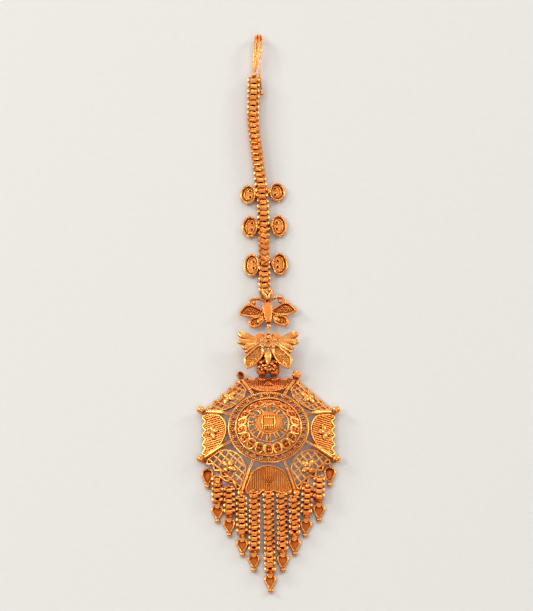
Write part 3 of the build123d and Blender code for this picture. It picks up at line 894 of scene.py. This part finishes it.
# ---------------------------------------------------------------- chains
def chain_link():
    """Box-chain link: a strip bent into a flat-ended loop across X, its outer edges eased."""
    half_width, half_length, wide, thick = 1.24, 0.58, 1.5, 0.17
    hole_share, eased_edge = 0.36, 0.16
    loop = settle(primitive(bpy.ops.mesh.primitive_circle_add, vertices=12, radius=half_length,
                            rotation=(0, 0, pi / 12), location=(0, 0, -wide / 2)))
    stretch = half_width - half_length
    for vertex in loop.data.vertices:
        side = 1 if vertex.co.x > 0 else -1
        full = 1.16 if 0.3 < abs(vertex.co.x) < 0.45 else 1.0
        flat = 2.3 if abs(vertex.co.y) < 0.2 else 1.16 if abs(vertex.co.y) < 0.5 else 1.0
        vertex.co.x = side * (abs(vertex.co.x) * full + stretch)
        vertex.co.y *= flat
    with editing():
        bpy.ops.mesh.select_all(action="SELECT")
        bpy.ops.mesh.extrude_region_move(TRANSFORM_OT_translate={"value": (0, 0, wide)})
    cleaned(loop)
    outer = len(loop.data.vertices)
    apply_modifier(loop, "SOLIDIFY", thickness=thick, offset=-1)
    for vertex in list(loop.data.vertices)[outer:]:
        if abs(vertex.co.x) > 0.5:
            vertex.co.x *= hole_share
    return bevelled(loop, lambda a, b: max(a.index, b.index) < outer
                    and abs(a.co.z - b.co.z) < 0.01, eased_edge, 1)


def route_length(route):
    """Length of a route of straight runs."""
    return sum((Vector(b) - Vector(a)).length for a, b in zip(route, route[1:]))


def route_point(route, distance):
    """Place at a distance along a route of straight runs."""
    for a, b in zip(route, route[1:]):
        run = Vector(b) - Vector(a)
        if distance <= run.length:
            return Vector(a) + run.normalized() * distance
        distance -= run.length
    return Vector(route[-1])


def linked_chain(pattern, route, height, scale, slant, roll):
    """Links along a route: every other one stands on edge, slanted and rolled as it lies."""
    length = route_length(route)
    count = max(2, round(length / LINK_PITCH / scale))
    pitch = length / count
    matrices = []
    for step in range(count):
        share = (step + 0.5) / count
        middle = (step + 0.5) * pitch
        near = [route_point(route, min(length, max(0, middle + d * pitch)))
                for d in (-3, -1.5, 0, 1.5, 3)]
        place = sum(near, Vector((0, 0))) / 5 if 3 < step < count - 4 else near[2]
        run = near[3] - near[1]
        heading = atan2(-run.x, run.y)
        edge = pi / 2 if step % 2 else 0
        loose, tip = (radians(chance.uniform(-4, 4)) for _ in range(2))
        matrices.append(at(place.x, place.y, height)
                        @ Matrix.Rotation(heading + radians(eased(slant, share)) + loose, 4, "Z")
                        @ Matrix.Rotation(tip, 4, "X")
                        @ Matrix.Rotation(edge + radians(eased(roll, share)) + loose, 4, "Y")
                        @ Matrix.Scale(scale, 4))
    return repeated(twin(pattern, Matrix()), matrices)


def node_line(node, toward):
    """Ends of a straight chain node in millimetres, its lean taken from the piece below."""
    low, high, middle = node_box(node)
    other = node_box(toward)[2]
    run = (Vector(other.xy) - Vector(middle.xy)).normalized()
    half = (high.y - low.y) / 2 / abs(run.y)
    return Vector(middle.xy) - run * half, Vector(middle.xy) + run * half


# slant and roll of the links in degrees, against the share of the way along a chain
MAIN_SLANT = [(0, 0), (0.12, -4), (0.25, -24), (0.42, -20), (0.5, -4), (0.66, -6), (0.71, -34),
              (0.84, -34), (0.88, 14), (1, 8)]
MAIN_ROLL = [(0, 0), (0.2, 6), (0.4, 14), (0.55, -6), (0.66, 0), (0.72, 4), (0.9, -8), (1, 0)]
STRAND_SLANT = {1: [(0, 2), (1, 0)], 2: [(0, 0), (1, 0)], 3: [(0, -6), (1, 3)],
                4: [(0, 28), (0.4, 10), (1, 0)], 5: [(0, 6), (0.25, 34), (0.5, 30), (1, 0)],
                6: [(0, 20), (0.6, 26), (1, 4)], 7: [(0, 22), (1, 10)], 8: [(0, 0), (1, 3)],
                9: [(0, 0), (1, -3)]}
LEVEL = [(0, 0), (1, 0)]


def make_chains():
    """Main chain, nine fringe strands and the two short chains under the butterflies."""
    pattern = chain_link()
    main = linked_chain(pattern, MAIN_ROUTE, CHAIN_HEIGHT, 1.06, MAIN_SLANT, MAIN_ROLL)
    finished(main, "main_chain_links", gilt_link, "gilt_chain", "main_chain", soft=40)
    for number, slant in STRAND_SLANT.items():
        node = f"fringe_chain_{number}"
        start, end = node_line(node, f"fringe_drop_{number}")
        end += (end - start).normalized() * STRAND_OVER_DROP
        links = linked_chain(pattern, [start, end], STRAND_HEIGHT, 1.0, slant, LEVEL)
        finished(links, f"{node}_links", gilt_link, "gilt_chain", node, soft=40)
    for side in ("left", "right"):
        node = f"link_chain_{side}"
        low, high, middle = node_box(node)
        ends = [(middle.x, high.y), (middle.x, low.y)]
        links = linked_chain(pattern, ends, STRAND_HEIGHT, 1.0, LEVEL, LEVEL)
        finished(links, f"{node}_links", gilt_link, "gilt_chain", node, soft=40)
    bpy.data.objects.remove(pattern)


# ---------------------------------------------------------------- drops
def edge_wire(right, low, high, z):
    """Fine wire on both sides of a drop, a little inside its edge."""
    line = [(x - 0.19, y, z) for x, y in right if low < y < high]
    return wires([line, [(-x, y, z) for x, y, z in line]], 0.17)


def drop_shape():
    """Spade drop with its tip on the origin: sunk floor, raised rim, tab, neck and button."""
    right = two_arcs((0.24, 1.1), (0.98, 2.3), (1.38, 3.35), (1.25, 4.15), (0.72, 4.75),
                     (12, 7))
    plate = sheet([mirrored(right)], 0.1, 0.34, 0.04)
    recess = two_arcs((0.02, 1.55), (0.62, 2.5), (0.98, 3.35), (0.86, 3.95), (0.5, 4.45),
                      (10, 7))
    rim = joined([sheet([mirrored(right), mirrored(recess)], 0.2, 0.6, 0.13),
                  edge_wire(right, 1.2, 4.4, 0.6)])
    tab = pillow(mirrored([(0.3, 3.86), (0.5, 4.1), (0.62, 4.6), (0.68, 5.2), (0.7, 5.9),
                           (0.62, 6.3), (0.35, 6.45)]), 0.2, 0.66, 0.12)
    for vertex in tab.data.vertices:
        vertex.co.z += 0.5 * max(0, vertex.co.y - 4.7)
    eyes = grains([(side * 0.66, 4.02, 0.22) for side in (-1, 1)], 0.2)
    button = moved(ball(16, 10), at(0, 0.56, 0.62) @ Matrix.Diagonal((0.68, 0.52, 0.6, 1)))
    collar = wires([[(-0.3, 1.12, 0.55), (0.3, 1.12, 0.55)]], 0.17)
    return joined([plate, eyes]), joined([rim, tab, button, collar])


def side_drop_shape():
    """Teardrop of the two side drops, with its tip on the origin and a loop at its top."""
    right = two_arcs((0.28, 1.12), (0.96, 2.35), (1.33, 3.7), (0.96, 4.8), (0, 5.2), (12, 9))
    recess = two_arcs((0.03, 1.5), (0.7, 2.55), (1.02, 3.7), (0.72, 4.58), (0, 4.9), (10, 7))
    rim = joined([sheet([mirrored(right), mirrored(recess)], 0.25, 0.74, 0.13),
                  edge_wire(right, 1.3, 5.1, 0.74)])
    wide = [(x * 1.12, y + 0.02) for x, y in recess]
    floor = sheet([mirrored(wide)], 0.12, 0.36, 0.02)
    swell = moved(petal(1.25, 2.7, 0.14, 0.3), at(0, 3.2, 0.36))
    button = moved(ball(16, 10), at(0, 0.6, 0.62) @ Matrix.Diagonal((0.62, 0.58, 0.62, 1)))
    loop = wires([[(0, 5.35 + 0.4 * cos(a), 0.6 + 0.4 * sin(a)) for a in angles(12)]], 0.15,
                 closed=True)
    return joined([floor, swell]), joined([rim, button, loop])


def make_drops():
    """Nine fringe drops, and the two teardrops at the sides."""
    patterns = {"fringe": drop_shape(), "side": side_drop_shape()}
    places = {}
    for number in range(1, 10):
        start, end = node_line(f"fringe_chain_{number}", f"fringe_drop_{number}")
        places[f"fringe_drop_{number}"] = atan2(end.x - start.x, start.y - end.y)
    places["side_drop_left"] = places["side_drop_right"] = 0.0
    for node, lean in places.items():
        low, high, middle = node_box(node)
        tip = middle.xy + Vector((sin(lean), -cos(lean))) * (high.y - low.y) / 2
        place = at(tip.x, tip.y) @ Matrix.Rotation(lean, 4, "Z")
        dish, shine = patterns[node.split("_")[0]]
        # dish floors take the darker copy of the gold, painted shade; rims take the pale copy, a
        # painted highlight
        finished(twin(dish, place), f"{node}_dish", gilt_painted_recess_shade, "gilt_stamping", node)
        finished(twin(shine, place), f"{node}_rim", gilt_painted_highlight, "gilt_stamping")
    for dish, shine in patterns.values():
        bpy.data.objects.remove(dish)
        bpy.data.objects.remove(shine)


# ---------------------------------------------------------------- leaf discs
def leaf_disc(length, gap):
    """Oval leaf beside the chain, +X away from it: floor, flat rim, a plate with two eyes."""
    half_width, half_length = 1.86, length / 2
    eyes = [ellipse(-0.5, side * 0.8, 0.27, 0.25, 12) for side in (-1, 1)]
    floor = sheet([ellipse(0, 0, half_width - 0.15, half_length - 0.15, 40)] + eyes, 0.05, 0.26,
                  0.02)
    rim = sheet([ellipse(0, 0, half_width, half_length, 44),
                 ellipse(0, 0, half_width - 0.45, half_length - 0.48, 40)], 0.15, 0.62, 0.13)
    plate = sheet([ellipse(-0.2, 0, 1.08, half_length - 0.8, 32)] + eyes, 0.2, 0.44, 0.07)
    edge = wires([lifted(ellipse(0, 0, half_width - 0.2, half_length - 0.22, 44), 0.6)], 0.16,
                 closed=True)
    rings = wires([lifted(ellipse(-0.5, side * 0.8, 0.42, 0.42, 14), 0.48)
                   for side in (-1, 1)], 0.14, closed=True)
    bow = [(0.02 + 0.88 * cos(a), (half_length - 1.0) * sin(a), 0.48)
           for a in spaced(-0.55 * pi, 0.55 * pi, 18)]
    arc = wires([bow], 0.15)
    seat = moved(petal(0.9 + 2 * gap, 1.5, 0.45, 0.2), at(-1.7 - gap, 0, 0.5))
    grain = grains([(0.35, -half_length + 0.02, 0.4)], 0.26)
    return joined([floor, plate]), joined([rim, edge, rings, arc, seat, grain])


def make_discs():
    """Three pairs of leaves, each tilted down towards its outer edge as it lies."""
    for number in (1, 2, 3):
        for name, side in (("left", -1), ("right", 1)):
            node = f"leaf_disc_{name}_{number}"
            low, high, middle = node_box(node)
            gap = 0.25 if node == "leaf_disc_right_1" else 0.05
            back, front = leaf_disc(high.y - low.y - 0.25, gap)
            place = (at(middle.x, middle.y + 0.1, 0.5) @ spun(10 * side, "Y")
                     @ Matrix.Scale(side, 4, (1, 0, 0)))
            # the left leaves of pairs 1 and 3 take the palest copy of the gold: a painted
            # highlight on the side lit most
            metal = gilt_painted_strong_highlight if name == "left" and number != 2 else gilt_relief
            finished(moved(back, place), f"{node}_dish", gilt_satin, "gilt_stamping", node)
            finished(moved(front, place), f"{node}_rim", metal, "gilt_stamping")


# ---------------------------------------------------------------- butterflies
def shrunk(outline, share):
    """An outline drawn in towards its own middle."""
    x = sum(p[0] for p in outline) / len(outline)
    y = sum(p[1] for p in outline) / len(outline)
    return [(x + (px - x) * share, y + (py - y) * share) for px, py in outline]


def upper_wings():
    """Pointed upper wing and round tail of the open butterfly, on one side."""
    wing = curved([(0.95, 0.65), (2.6, 1.7), (3.85, 2.37), (4.85, 2.25), (5.9, 1.35),
                   (6.65, 0.25)])
    wing += curved([(6.65, 0.25), (5.8, -0.3), (4.25, -0.72), (2.4, -0.66), (0.9, -0.15)])[1:]
    tail = curved([(0.95, -0.8), (2.2, -0.72), (3.55, -0.98), (4.42, -1.7), (4.66, -2.6),
                   (4.2, -3.45), (3.35, -3.75), (2.2, -3.3), (1.15, -2.15)], closed=True)
    holes = [ellipse(x, y, 0.15, 0.15, 8) for x, y in
             ((2.6, 0.6), (3.2, 1.5), (3.4, 0.2), (4.1, 0.95), (4.7, 0.2), (5.1, 0.9))]
    back = joined([sheet([shrunk(wing, 0.93)] + holes, 0.1, 0.36, 0.02),
                   sheet([shrunk(tail, 0.9)], 0.1, 0.36, 0.02)])
    places = []
    for row in range(5):
        for column in range(10):
            x, y = 1.7 + column * 0.42 + 0.2 * (row % 2), -0.34 + row * 0.42
            upper = 0.35 + 0.45 * (x - 0.9) if x < 4 else 1.75 - 0.65 * (x - 4)
            lower = -0.35 if x < 4.6 else -0.35 + 0.2 * (x - 4.6)
            if lower < y < upper and chance.random() < 0.82:
                places.append((x, y, 0.4))
    for ring, count in ((0.0, 1), (0.4, 7)):
        for a in angles(count):
            places.append((3.25 + ring * cos(a), -2.65 + ring * sin(a), 0.42))
    rims = wires([lifted(shrunk(wing, 0.95), 0.5)], 0.28, closed=True)
    tail_rim = joined([sheet([tail, shrunk(tail, 0.66)], 0.25, 0.62, 0.2),
                       wires([lifted(shrunk(tail, 0.84), 0.58)], 0.22, closed=True)])
    pad = moved(petal(1.05, 1.8, 0.4, 0.4), at(2.0, -1.85, 0.55) @ spun(40))
    return back, joined([grains(places, 0.17), rims, tail_rim, pad])


def feeler():
    """Feeler: wire arched out from the neck, curled in and ended in a ball."""
    arch = [(0.3, 3.05), (0.9, 3.55), (1.8, 4.0), (2.9, 4.05), (3.85, 3.6), (4.1, 2.85),
            (3.75, 2.3), (3.2, 2.45)]
    inner = [(0.5, 2.85), (1.1, 3.3), (2.0, 3.62), (2.8, 3.6), (3.3, 3.3)]
    return joined([wires([lifted(arch, 0.5)], 0.29, smooth=True),
                   wires([lifted(inner, 0.4)], 0.14, smooth=True),
                   grains([(3.08, 2.85, 0.5)], 0.54)])


def make_butterfly_upper():
    """Open filigree butterfly under the chain."""
    place = at(*UPPER_PLACE) @ spun(UPPER_TURN)
    back, lines = upper_wings()
    # the wing and tail floors take the darker copy of the gold: painted shade
    finished(moved(both_sides(back), place), "butterfly_upper_sheet", gilt_painted_recess_shade,
             "gilt_stamping", "butterfly_upper")
    lines = both_sides(joined([lines, feeler()]))
    finished(moved(lines, place), "butterfly_upper_wires", gilt_wire, "gilt_stamping")

    flank = [(0.42, 2.5), (0.85, 2.1), (1.0, 1.4), (0.95, 0.4), (0.62, -2.15), (0.35, -2.6)]
    body = pillow(mirrored(flank), 0.1, 1.1, 0.12)
    head = pillow([(-0.3, 3.4), (-0.42, 2.9), (-0.3, 2.2), (0.3, 2.2), (0.42, 2.9),
                   (0.3, 3.4)], 0.1, 0.75, 0.15)
    finished(moved(joined([body, head]), place), "butterfly_upper_body", gilt_satin,
             "gilt_stamping")
    tail = moved(petal(0.95, 1.9, 0.3, 0.45), at(0, -3.4, 0.5))
    beads = grains([(side * 0.45, y, 0.95) for side in (-1, 1) for y in (-2.0, -2.5)], 0.27)
    marks = wires([[(side * 0.25, 2.2, 0.85), (side * 0.6, 2.6, 0.75)] for side in (-1, 1)],
                  0.19)
    edge = wires([[(side * 0.98, 1.4, 0.98), (side * 0.93, 0.3, 0.98), (side * 0.6, -2.1, 0.98)]
                  for side in (-1, 1)], 0.1)
    # tail, beads, marks and edges take the pale copy of the gold: a painted highlight
    finished(moved(joined([tail, beads, marks, edge]), place), "butterfly_upper_beads",
             gilt_painted_highlight, "gilt_stamping")


def wing_lobe(angle, length, half):
    """Embossed lobe of a fan wing, narrow at its root and blunt at its end."""
    lobe = ball(16, 20)
    lobe.rotation_euler = (0, pi / 2, 0)
    settle(lobe)
    for vertex in lobe.data.vertices:
        x, y, z = vertex.co
        share = (x + 1) / 2
        round_off = sqrt(max(0.001, 1 - x * x))
        full = (0.4 + 0.6 * share) * sqrt(max(0, 1 - share ** 7)) * min(1, share * 5)
        vertex.co = (share * length, y / round_off * half * full, z / round_off * 0.7 * full)
    return moved(lobe, at(1.7, 1.9, 0.45) @ spun(angle))


def lower_leaf():
    """Rimmed leaf of the lower butterfly, veined like a feather."""
    inner = [(1.45, 1.1), (1.15, -0.4), (1.6, -2.2), (3.1, -4.1), (4.65, -5.1)]
    outer = [(1.45, 1.1), (2.5, 0.75), (3.6, -0.4), (4.8, -1.6), (5.4, -2.5), (5.25, -4.2),
             (4.65, -5.1)]
    near, far = curved(inner, steps=8), curved(outer, steps=6)
    outline = near + far[-2:0:-1]
    back = pillow(shrunk(outline, 0.95), 0.1, 0.44, 0.2)
    rim = wires([lifted(shrunk(outline, 0.96), 0.58)], 0.27, closed=True, sides=12)
    root, tip = Vector((1.6, 0.6)), Vector((4.5, -4.6))
    veins = []
    for share in spaced(0.06, 0.9, 15):
        middle = root.lerp(tip, share)
        for edge in (near, far):
            end = Vector(edge[min(len(edge) - 1, int((share + 0.07) * len(edge)))])
            end = middle.lerp(end, 0.9)
            veins.append([(middle.x, middle.y, 0.48), (end.x, end.y, 0.42)])
    return back, joined([rim, wires(veins, 0.12, sides=6)])


def make_butterfly_lower():
    """Broad butterfly over the short chains: fan wings, veined leaves, an oval body."""
    place = at(*LOWER_PLACE)
    back, lines = lower_leaf()
    lobe = pillow(ellipse(1.85, 3.35, 1.0, 0.95, 24), 0.1, 0.4, 0.14)
    finished(moved(both_sides(joined([back, lobe])), place), "butterfly_lower_sheet",
             gilt_satin, "gilt_stamping", "butterfly_lower")

    edge = [(1.5, 2.3, 0.62), (2.7, 0.95, 0.6), (4.0, -0.4, 0.58), (5.3, -1.75, 0.5)]
    veil = [(1.25, 4.3, 0.55), (0.75, 3.7, 0.6), (0.32, 3.0, 0.65)]
    ring = [(1.35 + 0.42 * cos(a), 2.2 + 0.42 * sin(a), 0.8) for a in angles(14)]
    open_lines = wires([edge, veil], 0.17, smooth=True)
    lines = both_sides(joined([lines, open_lines, wires([ring], 0.16, closed=True)]))
    # leaf rims and wires take the palest copy of the gold: a painted highlight
    finished(moved(lines, place), "butterfly_lower_wires", gilt_painted_strong_highlight, "gilt_stamping")

    lobes = [wing_lobe(*row) for row in ((24, 5.75, 1.18), (1, 5.4, 1.02), (-21, 4.6, 0.9),
                                         (-37, 4.6, 0.6))]
    finished(moved(both_sides(joined(lobes)), place), "butterfly_lower_wings", gilt_relief,
             "gilt_stamping")
    body = moved(petal(1.9, 4.9, 0.75, 0.35), at(0, -1.9, 0.5))
    yoke = pillow(ellipse(0, 1.75, 1.25, 1.3, 24), 0.1, 0.78, 0.2)
    neck = pillow([(-0.4, 2.6), (0.4, 2.6), (0.35, 4.2), (-0.35, 4.2)], 0.1, 0.7, 0.15)
    foot = sheet([[(-1.9, -3.9), (-1.9, -4.9), (-0.8, -5.4), (0.8, -5.4), (1.9, -4.9),
                   (1.9, -3.9)]], 0.1, 0.4)
    finished(moved(joined([body, yoke, neck, foot]), place), "butterfly_lower_body",
             gilt_relief, "gilt_stamping")
    balls = [(0, 4.1, 0.7), (0, 2.95, 0.75), (-1.6, -3.65, 0.7), (-1.15, -4.45, 0.6),
             (1.5, -4.55, 0.65), (0.9, -3.95, 0.6), (-0.6, -5.1, 0.5)]
    for side in (-1, 1):
        balls += [(side * 1.4, 2.15, 0.75), (side * 1.15, 0.5, 0.65)]
    crumbs = [(-2.05, -4.7, 0.5), (0.5, -5.35, 0.45), (1.9, -3.5, 0.6), (-0.1, -5.5, 0.4),
              (1.3, -5.3, 0.35), (-1.4, -5.35, 0.35), (0.3, -4.6, 0.5), (-0.5, -4.3, 0.5)]
    petals = [(0.4 * cos(a), 1.75 + 0.4 * sin(a), 0.82) for a in angles(6)]
    # the grains take the pale copy of the gold: a painted highlight
    finished(moved(joined([grains(balls, 0.43), grains(crumbs, 0.33), grains(petals, 0.22)]),
                   place),
             "butterfly_lower_grains", gilt_painted_highlight, "gilt_stamping")


# ---------------------------------------------------------------- fringe mounts
def make_mounts():
    """Solder grains, two balls and a bent wire where the strands meet the pendant."""
    tops = []
    for number in range(1, 10):
        start = node_line(f"fringe_chain_{number}", f"fringe_drop_{number}")[0]
        for across in (-0.6, 0.1, 0.65):
            tops.append((start.x + across, start.y + chance.uniform(-0.1, 0.3), 2.0))
    balls = [(-11.6, -13.0, 2.4), (8.9, -14.1, 2.6)]
    loop = [(-11.0, -11.5, 2.2), (-10.3, -12.3, 2.6), (-9.4, -13.0, 2.7), (-8.8, -12.2, 2.7),
            (-8.0, -12.6, 2.7), (-7.7, -13.5, 2.5)]
    whole = joined([grains(tops, 0.36), grains(balls, 0.62),
                    wires([loop], 0.32, smooth=True)])
    # grains, balls and wire take the pale copy of the gold: a painted highlight
    finished(whole, "fringe_mounts", gilt_painted_highlight, "gilt_wire")


# hook: its foot along Y, its length, and how far its two wires stand from their middle
HOOK_FOOT = 95.9
HOOK_LENGTH = 10.2
HOOK_SPREAD = [(0, 0.06), (0.1, 0.18), (0.25, 0.31), (0.9, 0.36), (1, 0.3)]


def make_hook():
    """Doubled wire bent over at its crown, and the thin end that springs back beside it."""
    rise = [(-3.3, HOOK_FOOT, 1.5), (-3.2, 97.4, 1.9), (-2.95, 100.4, 2.2), (-2.72, 103.4, 2.2),
            (-2.56, 105.0, 2.0), (-2.42, 105.95, 1.6), (-2.05, 105.9, 1.1), (-1.9, 105.0, 0.9)]
    pair = []
    for side in (-1, 1):
        pair.append([(x + side * eased(HOOK_SPREAD, (y - HOOK_FOOT) / HOOK_LENGTH), y, z)
                     for x, y, z in rise])
    back = [(-2.0, 105.4, 0.9), (-1.7, 104.4, 1.0), (-1.68, 102.4, 1.0), (-1.95, 100.6, 0.8),
            (-2.2, 98.8, 0.7), (-2.02, 96.6, 0.7), (-1.88, 93.9, 0.8), (-1.7, 92.3, 1.1),
            (-1.45, 91.4, 1.4), (-1.75, 90.9, 1.5)]
    finished(joined([wires(pair, 0.32, smooth=True, sides=12),
                     wires([back], 0.2, smooth=True)]), "hair_hook_wires", gilt_wire,
             "gilt_wire", "hair_hook")


def make_bead_and_bail():
    """Bead at the hook's foot, ball at its tip, the wire over the chain, and the bail."""
    wrap = wires([[(-1.55, 44.1, 2.9), (-0.7, 44.75, 3.2), (0.1, 45.4, 2.9)]], 0.2, smooth=True)
    bail = wires([[(-1.35, 37.5, 2.4), (-1.2, 36.6, 2.9), (-0.75, 35.9, 2.7), (-0.4, 35.2, 2.3)],
                  [(0.75, 37.3, 2.3), (0.6, 36.6, 2.8), (0.25, 36.0, 2.6), (0.0, 35.4, 2.2)]],
                 0.42, smooth=True)
    knot = grains([(-0.35, 36.7, 2.5), (-0.2, 35.5, 2.3)], 0.5)
    seat, tip = grains([(-3.3, 95.15, 1.9)], 0.64), grains([(-1.5, 90.45, 1.2)], 0.46)
    # bead, tip, wrap and bail take the palest copy of the gold: a painted highlight
    finished(joined([seat, tip, wrap, bail, knot]), "hook_bead_and_bail", gilt_painted_strong_highlight,
             "gilt_wire")


def make_rings():
    """Ring between the butterflies, and the metal of the two rings that the frame holds."""
    ring = [(0.1, 26.6 + 1.05 * cos(a), 1.9 + 0.85 * sin(a)) for a in angles(16)]
    finished(wires([ring], 0.17, closed=True), "butterfly_ring_wire", gilt_wire, "gilt_wire",
             "butterfly_ring")
    for node in ("hook_ring", "chain_bail"):
        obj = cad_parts[node]
        obj.data.materials.clear()
        obj.data.materials.append(gilt_wire)


# ---------------------------------------------------------------- studio
def make_floor():
    """Pale matt board under the object."""
    floor = primitive(bpy.ops.mesh.primitive_plane_add, size=3.0)
    floor.name = "floor"
    board, tree, shader, place = new_material("pale_board")
    shade = mixed(tree, noise(tree, place, 1.5), linear("#D8D5CF"), linear("#DCD9D3"))
    tree.links.new(shade, shader.inputs["Base Color"])
    shader.inputs["Roughness"].default_value = 0.9
    shader.inputs["Specular IOR Level"].default_value = 0.1
    floor.data.materials.append(board)


# lamps round the object: name, place and size in metres, power in watts
LAMPS = [("left_box", (-0.8, 0.45, 0.4), (0.24, 0.24), 3.6),
         ("right_box", (0.8, 0.45, 0.4), (0.22, 0.22), 2.4),
         ("top_left_box", (-0.66, -0.09, 0.74), (0.18, 0.18), 1.8),
         ("front_box", (0.2, -0.7, 0.68), (0.18, 0.18), 1.1),
         ("back_box", (0, 0.98, 0.14), (0.35, 0.12), 1.2),
         ("small_lamp", (0.26, 0.4, 0.88), (0.08, 0.08), 0.26),
         ("small_lamp", (-0.28, 0.36, 0.89), (0.08, 0.08), 0.26),
         ("small_lamp", (0.04, 0.72, 0.69), (0.08, 0.08), 0.26)]


def add_lamp(name, place, size, power):
    """Rectangular lamp that looks at the middle of the object."""
    lamp = bpy.data.lights.new(name, "AREA")
    lamp.shape = "RECTANGLE"
    lamp.size, lamp.size_y = size
    lamp.energy = power
    obj = in_scene(name, lamp)
    obj.location = place
    obj.rotation_euler = (-Vector(place)).to_track_quat("-Z", "Y").to_euler()


def make_light():
    """Even studio light: a white tent, brightest above and on the hook's side, and the lamps."""
    world = bpy.data.worlds.new("studio")
    bpy.context.scene.world = world
    world.use_nodes = True
    tree = world.node_tree
    tent = tree.nodes["Background"]
    tent.inputs["Color"].default_value = (1, 1, 1, 1)
    ray = add(tree, "ShaderNodeTexCoord").outputs["Generated"]
    facing = add(tree, "ShaderNodeVectorMath", {0: ray, 1: (0, 0.5, 0.866)},
                 operation="DOT_PRODUCT")
    strength = ranged(tree, facing.outputs["Value"], 0.0, 0.5, 0.18, 0.76)
    tree.links.new(strength, tent.inputs["Strength"])
    for row in LAMPS:
        add_lamp(*row)


# camera: degrees above the floor, and in metres its distance, aim and height of view
CAMERA_ELEVATION = 60.5
CAMERA_DISTANCE = 4.0
CAMERA_TARGET = Vector((-0.00046, 0.0021, 0))
VIEW_HEIGHT = 0.14053
SENSOR_HEIGHT = 36


def make_camera():
    """Camera on the fringe side, looking down at the object, with a long lens."""
    elevation = radians(CAMERA_ELEVATION)
    back = Vector((0, -cos(elevation), sin(elevation)))
    lens = bpy.data.cameras.new("camera")
    lens.sensor_fit = "VERTICAL"
    lens.sensor_height = SENSOR_HEIGHT
    lens.lens = SENSOR_HEIGHT * CAMERA_DISTANCE / VIEW_HEIGHT
    camera = in_scene("camera", lens)
    camera.location = CAMERA_TARGET + back * CAMERA_DISTANCE
    camera.rotation_euler = (-back).to_track_quat("-Z", "Y").to_euler()
    bpy.context.scene.camera = camera


make_panels()
make_ring()
make_dome()
make_boss()
make_frame()
make_chains()
make_drops()
make_discs()
make_butterfly_upper()
make_butterfly_lower()
make_mounts()
make_hook()
make_bead_and_bail()
make_rings()
make_floor()
make_light()
make_camera()
bpy.context.scene.view_settings.view_transform = "Standard"
